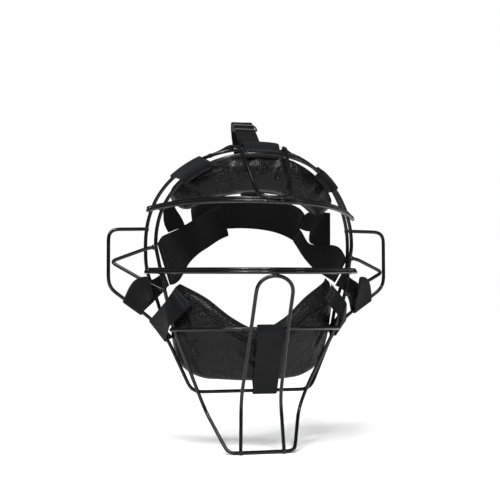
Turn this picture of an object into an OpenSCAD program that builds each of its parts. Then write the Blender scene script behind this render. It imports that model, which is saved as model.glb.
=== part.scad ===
// Wire face guard for a catcher or an umpire: a welded steel wire cage with ear guards and a throat
// guard, a padded forehead cushion, a padded chin cushion, hook and loop tabs, and an elastic harness.
// Millimetres. Z is up, Y points from the cage's front to the wearer's head, and X to the right as seen
// from the front. Left and right are as seen from the front.
// The origin is on the middle plane, at the eye bar's height, level with the rear frame's temples.

/* [Wire] */
// Diameter of the cage wire
wire_d = 3.6; // [3:0.1:4.2]
// Sides of a wire's section
wire_sides = 8; // [6:1:10]

/* [Frames] */
// Height of the widest place of both frames
temple_z = 25; // [20:1:30]
// Squareness of both frames' arches, 2 for an ellipse
arch_n = 2.23; // [2.1:0.01:2.4]
// Half width of the rear frame at the temples
rear_half_w = 106; // [103:1:110]
// Height of the rear frame's crown
rear_crown_z = 122; // [119:1:126]
// How far the rear crown stands in front of the temples
rear_crown_y = 38; // [34:1:42]
// Gap in width between the front frame and the rear frame at the temples
frame_step = 6; // [4:0.5:8]
// Distance from the rear frame to the front frame at the temples
frame_gap = 31; // [28:1:35]
// Distance by which the front crown is lower than the rear crown
crown_step = 8; // [6:0.5:10]
// How far the front crown stands in front of the front temples
front_crown_y = 35; // [32:1:38]

/* [Jaw and throat] */
// Half width of the cage at the chin bar
chin_half_w = 82; // [78:1:86]
// Depth of the chin bar's ends below the eye bar
chin_z = 56; // [52:1:60]
// Half width of the front frame where it crosses the rear bottom wire
throat_half_w = 57; // [54:1:60]
// Depth of the rear bottom wire below the eye bar
throat_z = 119; // [115:1:123]
// Half width of the throat guard at its bottom
bottom_half_w = 33; // [30:1:36]
// Depth of the throat guard's bottom below the eye bar
bottom_z = 173.5; // [168:0.5:180]
// How far the throat guard's bottom stands in front of the temples
bottom_y = 57; // [52:1:62]

/* [Bars] */
// How far the brow bar stands in front of the temples
brow_y = 115; // [110:1:120]
// Height of the brow bar's middle
brow_z = 64.5; // [60:0.5:68]
// Tilt of the brow bar, its left end up, in degrees
brow_tilt = 1.7; // [0:0.1:2.5]
// How far the eye bar stands in front of the temples
eye_y = 111; // [106:1:116]
// How far the chin bar stands in front of the temples
chin_y = 85; // [80:1:90]
// Length of a bar's end past the front frame
bar_end = 20; // [14:1:24]
// Half width of the top loop where it crosses the front frame
top_loop_half_w = 22; // [19:1:25]
// Half width of the long throat loop at its rounded top
throat_loop_half_w = 17.5; // [15:0.5:20]

/* [Ear guards] */
// Half width across both ear guards, to the wires' middles
ear_half_w = 143.4; // [138:0.2:150]
// Height of the ear guards' top wires
ear_top_z = 43; // [38:1:48]
// Depth of the ear guards' lower corners below the eye bar
ear_low_z = 15; // [10:1:20]
// Height at which the left brace joins the front frame
brace_z = 24; // [20:1:26]
// How much lower the right brace sits
brace_drop = 10; // [0:1:14]

/* [Cushions] */
// Thickness of the forehead cushion at its crown
brow_pad_t = 17; // [13:0.5:19]
// Width of the forehead cushion at its middle
brow_pad_w = 36; // [30:1:40]
// Thickness of the chin cushion at its crown
chin_pad_t = 15; // [12:0.5:17]
// Thickness of the cushions' leather
leather_t = 1.2; // [0.8:0.1:1.6]
// Thickness of the cushions' rear lining
lining_t = 1; // [0.8:0.1:1.4]

/* [Tabs] */
// Width of the left tab at the forehead
brow_tab_left_w = 34; // [28:1:36]
// Width of the right tab at the forehead
brow_tab_right_w = 28; // [24:1:36]
// Width of the top tab at the forehead
crown_tab_w = 37; // [30:1:40]
// Width of the left tab at the chin
chin_tab_left_w = 27; // [22:1:30]
// Width of the right tab at the chin
chin_tab_right_w = 21; // [18:1:26]
// Width of the middle tab at the chin
throat_tab_w = 25; // [20:1:28]
// Thickness of the tabs' webbing
tab_t = 1.6; // [1.2:0.1:2]
// Length of a tab's hook and loop end behind the cushion
flap_l = 24; // [18:1:28]
// Length of the chin side tabs' hook and loop ends
chin_flap_l = 13; // [10:1:15]

/* [Harness] */
// Width of the elastic back band
band_w = 35; // [30:1:40]
// Thickness of the elastic
band_t = 1.8; // [1.4:0.1:2.4]
// Distance from the temples back to the middle of the back band
band_y = 70; // [62:1:80]
// Height of the back band's middle
band_z = 65.5; // [60:0.5:70]
// Sideways place of the back band's middle
band_x = 8; // [0:1:12]
// Width of the side straps
side_w = 36; // [30:1:38]
// Width of the right side strap at its waist beside the back band
waist_w = 16; // [14:1:20]
// Width of the side straps' loops round the ear guards
loop_w = 23; // [18:1:25]
// Width of the temple straps
temple_w = 19; // [14:1:22]
// Width of the top strap
top_w = 22; // [19:1:25]
// Height of the top strap's highest place
top_z = 156; // [150:1:162]
// Sideways place of the top strap
top_x = -6; // [-10:1:0]

/* [Buckle] */
// Thickness of the buckle's bars
buckle_bar = 1.8; // [1.6:0.1:2.6]
// Length of the buckle along the strap
buckle_l = 15; // [13:0.5:18]

/* [Hidden] */

steel = [0.04, 0.04, 0.045];
leather = [0.1, 0.1, 0.11];
webbing = [0.16, 0.16, 0.17];
elastic = [0.07, 0.07, 0.075];
plastic = [0.05, 0.05, 0.055];

// Clearance between a soft piece and a wire that it wraps
wrap_gap = 0.5;
// Clearance between soft pieces that lie on each other
layer_gap = 0.3;
// Exponent of the arches' forward sweep: the sides stay upright and the crown leans forward
sweep_n = 4;
// Exponent of the brow bar's droop towards its ends
droop_n = 4;
// Droop of the brow bar's ends
brow_droop = 7;
// Radius of an ordinary bend in the wire
bend_r = 9;
wire_r = wire_d / 2;
// Distance between the middles of two wires that are welded side by side
weld_pitch = 0.9 * wire_d;

front_half_w = rear_half_w - frame_step;
front_crown_z = rear_crown_z - crown_step;

// Vector and list helpers
function unit(v) = v / norm(v);
function mirrored(p) = [-p[0], p[1], p[2]];
function flip(l) = [for (i = [len(l) - 1:-1:0]) l[i]];
function both(l) = concat(l, [for (p = flip(l)) mirrored(p)]);
function mix(a, b, f) = a + (b - a) * f;
function cat(a, b, c, d, f) =
    0.5 * (2 * b + (c - a) * f + (2 * a - 5 * b + 4 * c - d) * f * f + (3 * b - a - 3 * c + d) * f * f * f);

// A smooth curve through points, n steps to a stretch
function smooth(p, n) = concat(
    [for (i = [0:len(p) - 2], j = [0:n - 1])
        cat(p[max(i - 1, 0)], p[i], p[i + 1], p[min(i + 2, len(p) - 1)], j / n)],
    [p[len(p) - 1]]);

// A bent wire: straight runs with a round bend of n steps at each inner point
function bend_cut(a, b, c, r) = min(r, 0.48 * norm(b - a), 0.48 * norm(c - b));
function bend(a, b, c, r, n) = let(
        k = bend_cut(a, b, c, r), s = b + unit(a - b) * k, e = b + unit(c - b) * k)
    [for (j = [0:n]) let(f = j / n) (1 - f) * (1 - f) * s + 2 * f * (1 - f) * b + f * f * e];
function bent(p, r, n = 4) = concat(
    [p[0]],
    [for (i = [1:len(p) - 2]) each bend(p[i - 1], p[i], p[i + 1], r, n)],
    [p[len(p) - 1]]);

// The two frames' arches, by angle, by width and by height
function arch(a, w, top, y0, dy) = let(f = pow(sin(a), 2 / arch_n))
    [-sign(cos(a)) * w * pow(abs(cos(a)), 2 / arch_n), -y0 - dy * pow(f, sweep_n), mix(temple_z, top, f)];
function arch_at_x(x, w, top, y0, dy) = let(f = pow(1 - pow(abs(x) / w, arch_n), 1 / arch_n))
    [x, -y0 - dy * pow(f, sweep_n), mix(temple_z, top, f)];
function arch_at_z(z, w, top, y0, dy) = let(f = max((z - temple_z) / (top - temple_z), 0))
    [-w * pow(1 - pow(f, arch_n), 1 / arch_n), -y0 - dy * pow(f, sweep_n), z];
function rear_x(x) = arch_at_x(x, rear_half_w, rear_crown_z, 0, rear_crown_y);
function rear_z(z) = arch_at_z(z, rear_half_w, rear_crown_z, 0, rear_crown_y);
function front_x(x) = arch_at_x(x, front_half_w, front_crown_z, frame_gap, front_crown_y);

// The jaw wire, left half, from its weld at the temple round the ear to the rear bottom wire
ear_y = 6;
jaw_y = 9;
jaw_z = mix(ear_low_z, throat_z, 0.5);
jaw_half_w = chin_half_w + 2.5;
throat_y = 18;
rear_low_y = throat_y - weld_pitch;
jaw_knee_z = ear_low_z + 32;
ear_weld = rear_z(ear_top_z);
jaw_knee = [-jaw_half_w - 15.5, -ear_y - 1, -jaw_knee_z];
jaw_point = [-jaw_half_w, -jaw_y, -jaw_z];
jaw_corner = [-throat_half_w - 4, -rear_low_y, -throat_z];
jaw_half = [
    ear_weld,
    [-ear_half_w, -ear_y, ear_top_z - 1],
    [-ear_half_w, -ear_y - 1, -ear_low_z],
    jaw_knee,
    jaw_point,
    jaw_corner
];

// The front frame's side, left half, below the temple
cheek = [-chin_half_w - 9, -frame_gap - 7, -22];
chin_corner = [-chin_half_w, -frame_gap - 2, -chin_z];
throat_corner = [-throat_half_w, -throat_y, -throat_z + 4];
neck = [-mix(throat_half_w, bottom_half_w, 0.38), -throat_y, -mix(throat_z, bottom_z, 0.35)];
front_side = [
    [-front_half_w, -frame_gap, temple_z],
    cheek,
    chin_corner,
    throat_corner,
    neck,
    [-bottom_half_w, -bottom_y, -bottom_z],
    [0, -bottom_y - 1, -bottom_z]
];

// Point of a polyline that falls with Z at height z
function fall_at(p, z, i = 0) = (z >= p[i + 1][2] || i >= len(p) - 2)
    ? mix(p[i], p[i + 1], (p[i][2] - z) / (p[i][2] - p[i + 1][2]))
    : fall_at(p, z, i + 1);
function front_z(z) = z > temple_z
    ? arch_at_z(z, front_half_w, front_crown_z, frame_gap, front_crown_y)
    : fall_at(front_side, z);

// The rear frame's side, left half, down to its weld on the jaw wire
rear_foot = mix(jaw_knee, jaw_point, 0.8) + [wire_r + 0.6, wire_r, 0];
rear_side = [
    [-rear_half_w, 0, temple_z],
    [-rear_half_w + 0.5, 0, 3],
    [-mix(rear_half_w, jaw_half_w, 0.58), 0, -29],
    rear_foot
];

arch_steps = 26;
rear_path = concat(
    flip(bent(rear_side, 22, 3)),
    [for (i = [1:arch_steps - 1]) arch(180 * i / arch_steps, rear_half_w, rear_crown_z, 0, rear_crown_y)],
    [for (p = bent(rear_side, 22, 3)) mirrored(p)]);

front_low = concat(
    bend(front_side[0], front_side[1], front_side[2], 26, 3),
    bend(front_side[1], front_side[2], front_side[3], 18, 2),
    bend(front_side[2], front_side[3], front_side[4], 12, 2),
    bend(front_side[3], front_side[4], front_side[5], 14, 3),
    bend(front_side[4], front_side[5], front_side[6], 6, 4));
front_path = concat(
    [for (i = [0:arch_steps])
        arch(180 * i / arch_steps, front_half_w, front_crown_z, frame_gap, front_crown_y)],
    [for (p = front_low) mirrored(p)],
    flip(front_low));

jaw_path = both(bent(concat(jaw_half, [[-20, -rear_low_y, -throat_z]]), bend_r, 4));

// A bar: a parabola in plan, with its ends past the front frame and its middle at y, and a droop
function bar_height(x, z, droop, tilt, reach) = z - droop * pow(abs(x) / reach, droop_n) - x * tan(tilt);
function bar_point(x, reach, y, end_y, z, droop, tilt) =
    [x, -y + (y - end_y) * x * x / (reach * reach), bar_height(x, z, droop, tilt, reach)];
function bar(reach, y, end_y, z, droop, tilt, shift) =
    [for (i = [-11:11]) bar_point(reach * i / 11, reach, y, end_y, z, droop, tilt) + shift];

// Places where the bars pass outside the front frame, which set how far they reach
function bar_reach(p, y) = let(
        x = -p[0] + 0.66 * wire_d, yy = -p[1] + 0.75 * wire_d, k = (y - yy) / (x * x))
    [x + bar_end / norm([1, 2 * k * x]), y - k * pow(x + bar_end / norm([1, 2 * k * x]), 2)];
brow_reach = bar_reach(front_z(brow_z - brow_droop / 2), brow_y);
eye_reach = bar_reach(front_z(0), eye_y);
rear_wire_shift = [0, 0.66 * wire_d, 0.72 * wire_d];

brow_path = bar(brow_reach[0], brow_y, brow_reach[1], brow_z, brow_droop, brow_tilt, [0, 0, 0]);
brow_rear_path =
    bar(brow_reach[0] - 1, brow_y, brow_reach[1], brow_z, brow_droop, brow_tilt, rear_wire_shift);
eye_path = bar(eye_reach[0], eye_y, eye_reach[1], 0, 0, 0, [0, 0, 0]);
eye_rear_path = bar(eye_reach[0] - 1, eye_y, eye_reach[1], 0, 0, 0, rear_wire_shift);
chin_weld = fall_at(front_side, -chin_z) + [0, -0.95 * wire_d, 0];
chin_tip = 3.5;
chin_rise = 3;
function chin_bar_at(x) = let(k = pow(x / chin_weld[0], 2))
    [x, -chin_y + (chin_y + chin_weld[1]) * k, -chin_z + chin_rise * (1 - k)];
chin_path = [for (i = [-8:8]) chin_bar_at((chin_tip - chin_weld[0]) * i / 8)];

// The top loop: from a tail beside the rear crown, over it, across the front crown and down to the brow bar
loop_cross = front_x(-top_loop_half_w) + [0, -0.66 * wire_d, 0.72 * wire_d];
loop_over = rear_x(-top_loop_half_w - 6) + [0, 0, 0.96 * wire_d];
loop_tail = rear_x(-top_loop_half_w - 24) + [0, 0.98 * wire_d, 0];
loop_mid = rear_x(-top_loop_half_w - 14) + [0, 0.96 * wire_d, 0.25 * wire_d];
loop_foot_z = brow_z + 0.75 * wire_d + rear_wire_shift[2] / 2;
top_loop_half = [
    loop_tail,
    loop_mid,
    loop_over + [0, 1.5, 0.4],
    loop_over + [2.4, -8, -0.6],
    loop_cross,
    [-top_loop_half_w + 5.5, -mix(-loop_cross[1], brow_y, 0.72), mix(loop_cross[2], loop_foot_z, 0.82)],
    [-top_loop_half_w + 9.5, -brow_y + 2.5, loop_foot_z + 1.4],
    [-top_loop_half_w + 16, -brow_y + 0.2, loop_foot_z]
];
top_loop_path = smooth(both(top_loop_half), 3);

// The throat loop: a tall arch that hangs from the eye bar and stands on the bottom wire
throat_loop_top = [0, -eye_y + 0.4, -weld_pitch];
loop_leg = [-throat_loop_half_w, -eye_y + 3, -throat_loop_half_w];
loop_waist = [-throat_loop_half_w - 0.3, -chin_y + 0.5 - wire_d, -chin_z + 3];
loop_knee = [-throat_loop_half_w - 2, -bottom_y + 3.5, -throat_z - 2.5];
loop_foot = [-throat_loop_half_w - 4, -bottom_y - weld_pitch, -bottom_z];
throat_loop_path = both(concat(
    bent([loop_foot, loop_knee, loop_waist, loop_leg], 12, 3),
    [for (a = [15:17.5:85]) throat_loop_top
        + [-throat_loop_half_w * cos(a), 2.6 * (1 - sin(a)),
            -(throat_loop_half_w - weld_pitch) * (1 - sin(a))]]));

// Ear braces, from the front frame out to the ear guard's upright and back
function brace_path(drop) = let(
        top = front_z(brace_z - drop) + [-weld_pitch, 0, 0],
        elbow = [-ear_half_w + weld_pitch, -ear_y - 2, 10 - drop],
        low = front_z(-17 - drop / 2) + [-0.7 * wire_d, -0.2 * wire_d, 0])
    bent([top, top + [-5, 1.5, -1], elbow + [0, 0, 0.7],
        elbow - [0, 0, 0.7], low + [-12, 9, 6], low], 5, 3);

// Cap of a ring of m points, in triangles between its first half and its second half, which face each other
function cap(m) = [for (k = [0:ceil(m / 2) - 2]) let(far = m - 1 - k)
    each k + 1 < far - 1 ? [[k, k + 1, far], [k + 1, far - 1, far]] : [[k, k + 1, far]]];

// Solid between rings of equal length. The second half of a ring is split along the other diagonal, so that
// the two faces of a thin twisted piece stay parallel.
module skin(rings, loop = false) {
    n = len(rings);
    m = len(rings[0]);
    last = loop ? n - 1 : n - 2;
    sides = [for (i = [0:last], k = [0:m - 1])
        let(a = i * m + k, b = i * m + (k + 1) % m,
            c = ((i + 1) % n) * m + k, d = ((i + 1) % n) * m + (k + 1) % m)
        each k < m / 2 ? [[a, d, b], [a, c, d]] : [[a, c, b], [b, c, d]]];
    caps = loop ? [] : concat(cap(m), [for (t = cap(m)) flip(t) + (n - 1) * m * [1, 1, 1]]);
    polyhedron(points = [for (r = rings) each r], faces = concat(sides, caps));
}

function along(p, i, loop = false) = let(n = len(p))
    loop ? unit(p[(i + 1) % n] - p[(i + n - 1) % n]) : unit(p[min(i + 1, n - 1)] - p[max(i - 1, 0)]);
function ring(c, t, ref, r) = let(u = unit(cross(ref, t)), v = cross(t, u))
    [for (k = [0:wire_sides - 1]) let(a = 360 * (k + 0.5) / wire_sides) c + r * (cos(a) * u + sin(a) * v)];

// A wire along a path; ref is a direction that the wire never runs in
module wire(path, ref = [0, 1, 0], loop = false)
    color(steel)
    skin([for (i = [0:len(path) - 1]) ring(path[i], along(path, i, loop), ref, wire_r)], loop);

// Flat webbing along a path, with its width along wide at each point, turned square to the path or as given
function flat_ring(c, t, wide, w, h, square) =
    let(u = unit(square ? wide - (wide * t) * t : wide), v = unit(cross(t, u)))
    [c + u * w / 2 - v * h / 2, c + u * w / 2 + v * h / 2,
        c - u * w / 2 + v * h / 2, c - u * w / 2 - v * h / 2];
module webbing_strip(path, wide, w, h, square = true)
    skin([for (i = [0:len(path) - 1])
        flat_ring(path[i], along(path, i), is_list(wide[0]) ? wide[i] : wide, is_list(w) ? w[i] : w, h,
            square)]);

// Webbing through rows; a row is a point, the direction of the width there and the width
function row(p, k, w) = concat(p, k, [w]);
module ribbon(rows, h, square = true)
    webbing_strip([for (r = rows) [r[0], r[1], r[2]]],
        [for (r = rows) [r[3], r[4], r[5]]], [for (r = rows) r[6]], h, square);

module rear_frame_wire() wire(rear_path);
module front_frame_wire() wire(front_path, loop = true);
module jaw_and_ear_wire() wire(jaw_path);
module top_loop_wire() wire(top_loop_path, [0, 0, 1]);
module brow_bar_front() wire(brow_path, [0, 0, 1]);
module brow_bar_rear() wire(brow_rear_path, [0, 0, 1]);
module eye_bar_front() wire(eye_path, [0, 0, 1]);
module eye_bar_rear() wire(eye_rear_path, [0, 0, 1]);
module chin_bar() wire(chin_path, [0, 0, 1]);
module throat_loop_wire() wire(throat_loop_path);
module ear_brace_left() wire(brace_path(0));
module ear_brace_right() wire([for (p = brace_path(brace_drop)) mirrored(p)]);

// Cushions: a leather cover that is open at the rear, a foam core inside it and a lining across its rear.
// low and high are the two long edges on the rear plane, from left to right, and t the thickness.
pad_sides = 10;
// Rise of a foam's rear face at its middle
foam_rise = 0.2;
function dome(w, h) = [for (k = [0:pad_sides])
    let(a = 180 * k / pad_sides) [w / 2 * cos(a), h * pow(sin(a), 0.7)]];
function cover_section(w, h) = concat(dome(w, h), flip(dome(w - 2 * leather_t, h - leather_t)));
function across(w, v) = [for (k = [-2:2]) [w / 4 * k, v]];
function foam_section(w, h) = let(c = leather_t + layer_gap / 2, d = dome(w - 2 * c, h - c - layer_gap))
    concat([for (p = d) p + [0, layer_gap]],
        [for (k = [-1:1]) [(w / 2 - c) / 2 * k, layer_gap + foam_rise * (1 - k * k / 4)]]);
function lining_section(w) = concat(flip(across(w, 0)), across(w, -lining_t));
function placed(section, c, u, v) = [for (p = section) c + u * p[0] + v * p[1]];
function pad_frame(low, high, i) = let(
        c = [for (j = [0:len(low) - 1]) (low[j] + high[j]) / 2],
        u = unit(high[i] - low[i]),
        v = unit(cross(along(c, i), u)))
    [c[i], u, v, norm(high[i] - low[i])];
// A place just off a cushion's face, where a tab is sewn on: x counts stations from the left and a is the
// angle round the section from the high edge
sewn_gap = 0.6;
sewn_lift = sewn_gap + tab_t;
function face(low, high, t, i, a) = let(f = pad_frame(low, high, i))
    f[0] + f[1] * (f[3] / 2 + sewn_lift) * cos(a) + f[2] * (t[i] * pow(sin(a), 0.7) + sewn_lift * sin(a));
function face_at(low, high, t, x, a) = let(i = floor(x))
    mix(face(low, high, t, i, a), face(low, high, t, i + 1, a), x - i);
module pad(low, high, t, kind)
    skin([for (i = [0:len(low) - 1])
        let(f = pad_frame(low, high, i),
            section = kind == "cover" ? cover_section(f[3], t[i])
                : kind == "foam" ? foam_section(f[3], t[i]) : lining_section(f[3]))
        placed(section, f[0], f[1], f[2])]);

// The forehead cushion: a crescent inside the rear frame, from angle to angle round the arch
brow_steps = 24;
brow_from = 35;
brow_to = 150;
brow_side_w = 23;
brow_inset = 4;
brow_crown_inset = 7;
brow_end_t = 11;
brow_crease = 0.62;
function brow_angle(i) = mix(brow_from, brow_to, i / brow_steps);
function end_round(f, n) = pow(max(1 - pow(abs(2 * f - 1), n), 0.02), 0.5);
brow_mid = [for (i = [0:brow_steps]) let(a = brow_angle(i), s = brow_side_w / 2)
    arch(a, rear_half_w - brow_inset - s,
        rear_crown_z - brow_crown_inset - brow_pad_w / 2, 0, rear_crown_y)];
brow_width = [for (i = [0:brow_steps]) let(f = i / brow_steps)
    mix(brow_side_w, brow_pad_w, pow(sin(brow_angle(i)), 2)) * mix(0.6, 1, end_round(f, 10))];
brow_out = [for (i = [0:brow_steps])
    let(c = brow_mid[i], t = along(brow_mid, i), r = [c[0], 0, c[2] - temple_z])
    unit(r - (r * t) * t + [0, 4, 0])];
brow_low = [for (i = [0:brow_steps]) brow_mid[i] - brow_out[i] * brow_width[i] / 2];
brow_high = [for (i = [0:brow_steps]) brow_mid[i] + brow_out[i] * brow_width[i] / 2];
brow_thick = [for (i = [0:brow_steps]) let(f = i / brow_steps, g = (f - brow_crease) / 0.03)
    mix(brow_end_t, brow_pad_t, sin(brow_angle(i)))
        * mix(0.6, 1, end_round(f, 10)) * (1 - 0.14 * exp(-g * g))];

// The chin cushion: a cup that hangs between the cheeks, with a low front and high sides
chin_cup_steps = 3;
chin_top_half = [
    [-chin_half_w + 9, 2, -12],
    [-chin_half_w + 13, -14, -15],
    [-chin_half_w + 32, -32, -26.5],
    [-26, -44, -chin_z + 10],
    [0, -47, -chin_z - 1]
];
function jaw_inside(rise, gap, y) = let(z = -throat_z + rise)
    [fall_at([jaw_point, jaw_corner], z)[0] + gap, y, z];
chin_low_half = [
    [-chin_half_w + 9, 4, -chin_z - 5],
    jaw_inside(27, 4.7, -2),
    jaw_inside(15, 16.8, -11),
    [-27, -14, -throat_z + 13],
    [0, -15, -throat_z + 13]
];
// How much further the tab draws the cushion's right end out and up
chin_draw = [[10, 0, 7], [6, -1, 3.5], [1, 0, 0.5], [0, 0, 0], [0, 0, 0]];
function whole(l, k) = smooth(
    concat(l, [for (i = [len(l) - 2:-1:0]) mirrored(l[i]) + k * chin_draw[i]]), chin_cup_steps);
chin_high = whole(chin_top_half, 1);
chin_low = whole(chin_low_half, 0);
chin_end_t = 8;
chin_thick = [for (i = [0:len(chin_low) - 1]) let(f = i / (len(chin_low) - 1))
    mix(chin_end_t, chin_pad_t, pow(sin(180 * f), 0.6)) * mix(0.6, 1, end_round(f, 12))];

module forehead_cover() color(leather) pad(brow_low, brow_high, brow_thick, "cover");
module forehead_foam() color("dimgray") pad(brow_low, brow_high, brow_thick, "foam");
module forehead_lining() color(elastic) pad(brow_low, brow_high, brow_thick, "lining");
module chin_cover() color(leather) pad(chin_low, chin_high, chin_thick, "cover");
module chin_foam() color("dimgray") pad(chin_low, chin_high, chin_thick, "foam");
module chin_lining() color(elastic) pad(chin_low, chin_high, chin_thick, "lining");

// Tabs: webbing that leaves the cushion's front, passes outside the front wire at q and wraps the rear wire
// at p, with some slack at q where it crosses that wire at a slant. A station is [p, q, start, out]; the
// webbing turns round q from angle qa and leaves p at angle pa.
tab_r = wire_r + wrap_gap + tab_t / 2;
function tab_axes(s) = let(a = unit(s[1] - s[0]), o = s[3] - (s[3] * a) * a) [a, unit(o)];
function flat(s, x) = let(f = tab_axes(s), d = x - s[0]) [d * f[0], d * f[1]];
function arc2(c, r, a0, a1, n) = [for (k = [0:n]) let(a = mix(a0, a1, k / n)) c + r * [cos(a), sin(a)]];
function tab_outline(s, qa, pa, r, rq) = let(
        l = norm(s[1] - s[0]),
        h = tab_t / 2,
        start = flat(s, s[2]),
        lead = [l, 0] + rq * [cos(qa), sin(qa)] - start,
        side = unit([lead[1], -lead[0]]) * h)
    concat([start + side],
        arc2([l, 0], rq + h, qa, 90, 4), arc2([0, 0], r + h, 90, pa, 4),
        arc2([0, 0], r - h, pa, 90, 4), arc2([l, 0], rq - h, 90, qa, 4),
        [start - side]);
function ordered(stations) = let(f = tab_axes(stations[0]))
    cross(f[0], f[1]) * (stations[1][0] - stations[0][0]) > 0 ? stations : flip(stations);
module swept(stations, outline)
    color(webbing)
    skin([for (i = [0:len(stations) - 1]) let(g = tab_axes(stations[i]))
        placed(outline[i], stations[i][0], g[0], g[1])]);
module tab(stations, qa, pa, slack = 0) {
    list = ordered(stations);
    swept(list, [for (s = list) tab_outline(s, qa, pa, tab_r, tab_r + slack)]);
}

// The free end of a tab: a flat hook and loop strip that starts where the tab leaves the rear wire
flap_gap = 3.2;
module flap(stations, pa, l) {
    list = ordered(stations);
    d = [-sin(pa), cos(pa)];
    n = [cos(pa), sin(pa)];
    swept(list, [for (s = list) [
        n * (tab_r + tab_t / 2) + d * flap_gap,
        n * (tab_r + tab_t / 2) + d * (flap_gap + l),
        n * (tab_r - tab_t / 2) + d * (flap_gap + l),
        n * (tab_r - tab_t / 2) + d * flap_gap
    ]]);
}

// Forehead side tabs, at an angle round the arches from each temple
brow_left_angle = 52.5;
brow_right_angle = 134;
tab_steps = 4;
brow_sewn = 50;
brow_lean = 2.3;
function brow_station(a) = let(
        p = arch(a, rear_half_w, rear_crown_z, 0, rear_crown_y),
        q = arch(a, front_half_w, front_crown_z, frame_gap, front_crown_y),
        out = unit([p[0], 0, p[2] - temple_z]))
    [p, q, face_at(brow_low, brow_high, brow_thick, brow_index(a), brow_sewn), out];
function brow_index(a) = (a - brow_from) / (brow_to - brow_from) * brow_steps + brow_lean * cos(a);
function brow_stations(a, w) = let(half = w / 2 / (rear_half_w - 6) * 180 / PI)
    [for (i = [-tab_steps:2:tab_steps]) brow_station(a + half * i / tab_steps)];
brow_qa = -70;
brow_pa = 182;
flap_trim = 2;
brow_flap_trim = 11;
module forehead_tab_left() tab(brow_stations(brow_left_angle, brow_tab_left_w), brow_qa, brow_pa);
module forehead_tab_right() tab(brow_stations(brow_right_angle, brow_tab_right_w), brow_qa, brow_pa);
module brow_flap(a, w) {
    s = brow_station(a);
    run = unit(brow_station(a + 2)[0] - brow_station(a - 2)[0]);
    flap([for (i = [-2:2]) let(x = w / 4 * i * run) [s[0] + x, s[1] + x, s[2] + x, s[3]]], brow_pa, flap_l);
}
module forehead_flap_left() brow_flap(brow_left_angle, brow_tab_left_w - brow_flap_trim);
module forehead_flap_right() brow_flap(brow_right_angle, brow_tab_right_w - brow_flap_trim);

// Forehead top tab: a loose wrap over the rear crown, sewn to the cushion in front and behind
crown_slack = 3.4;
crown_tab_x = 3;
crown_r = tab_r + crown_slack;
crown_rear_l = 20;
crown_start = [12.5, -brow_crown_inset - 2.7];
function crown_outline() = let(h = tab_t / 2, f = crown_r) concat(
        [crown_start - [h, 0]],
        arc2([0, 0], f - h, 0, 180, 8), [[-f + h, -crown_rear_l], [-f - h, -crown_rear_l]],
        arc2([0, 0], f + h, 180, 0, 8), [crown_start + [h, 0]]);
module forehead_tab_top()
    color(webbing)
    skin([for (i = [-1:1]) let(p = rear_x(crown_tab_x + crown_tab_w / 2 * i))
        placed(crown_outline(), p, [0, -1, 0], [0, 0, 1])]);

// Chin side tabs, along the jaw wire between the knee and the cushion's corner
chin_left_at = 0.47;
chin_right_at = 0.38;
function chin_seat(right, x, a) = right
    ? mirrored(face_at(chin_low, chin_high, chin_thick, len(chin_low) - 1 - x, a))
    : face_at(chin_low, chin_high, chin_thick, x, a);
function chin_station(f, right) = let(
        p = mix(jaw_knee, jaw_point, f),
        q = front_z(-mix(28, 51, f)),
        seat = chin_seat(right, mix(2.3, 5, f), mix(26, 41, f)))
    [p, q, seat, p - seat];
function chin_stations(w, at, right) = let(half = w / 2 / norm(jaw_point - jaw_knee))
    [for (i = [-1:1]) chin_station(at + half * i, right)];
chin_qa = 50;
chin_pa = 146;
function chin_left(w) = chin_stations(w, chin_left_at, false);
function chin_right(w) = chin_stations(w, chin_right_at, true);
chin_slack = 2.6;
module chin_tab_left() tab(chin_left(chin_tab_left_w), chin_qa, chin_pa, chin_slack);
module chin_tab_right()
    mirror([1, 0, 0]) tab(chin_right(chin_tab_right_w), chin_qa, chin_pa, chin_slack);
module chin_flap_left() flap(chin_left(chin_tab_left_w - flap_trim), chin_pa, chin_flap_l);
module chin_flap_right()
    mirror([1, 0, 0]) flap(chin_right(chin_tab_right_w - flap_trim), chin_pa, chin_flap_l);

// Chin middle tab, from the chin cushion over the chin bar to the rear bottom wire
throat_tab_x = 13;
throat_tab_top_x = 2;
throat_sewn = 40;
chin_pitch = -chin_top_half[3][0] / chin_cup_steps;
function chin_index(x) = (len(chin_low) - 1) / 2 + x / chin_pitch;
function throat_station(x) = [
    [throat_tab_x + x, -rear_low_y, -throat_z],
    chin_bar_at(throat_tab_top_x + x * 1.05),
    face_at(chin_low, chin_high, chin_thick, chin_index(throat_tab_top_x + x * 1.05), throat_sewn),
    [0, -1, -1]
];
function throat_stations(w) = [for (i = [-2:2]) throat_station(w / 4 * i)];
throat_qa = -20;
throat_pa = 222;
throat_slack = 0.8;
module chin_tab_middle() tab(throat_stations(throat_tab_w), throat_qa, throat_pa, throat_slack);
module chin_flap_middle() flap(throat_stations(throat_tab_w - flap_trim), throat_pa, flap_l);

// Harness: an elastic back band that forks at each side into a side strap and a temple strap
band_half = 58;
band_drop = 18;
band_turn = 82;
band_end_y = band_y - 26;
back_path = [for (i = [-6:6]) let(f = i / 6)
    [band_x + band_half * sin(band_turn * f) / sin(band_turn),
        mix(band_end_y, band_y, (cos(band_turn * f) - cos(band_turn)) / (1 - cos(band_turn))),
        band_z - band_drop * f * f]];
module back_band() color(elastic) webbing_strip(back_path, [0, 0, 1], band_w, band_t);

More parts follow.
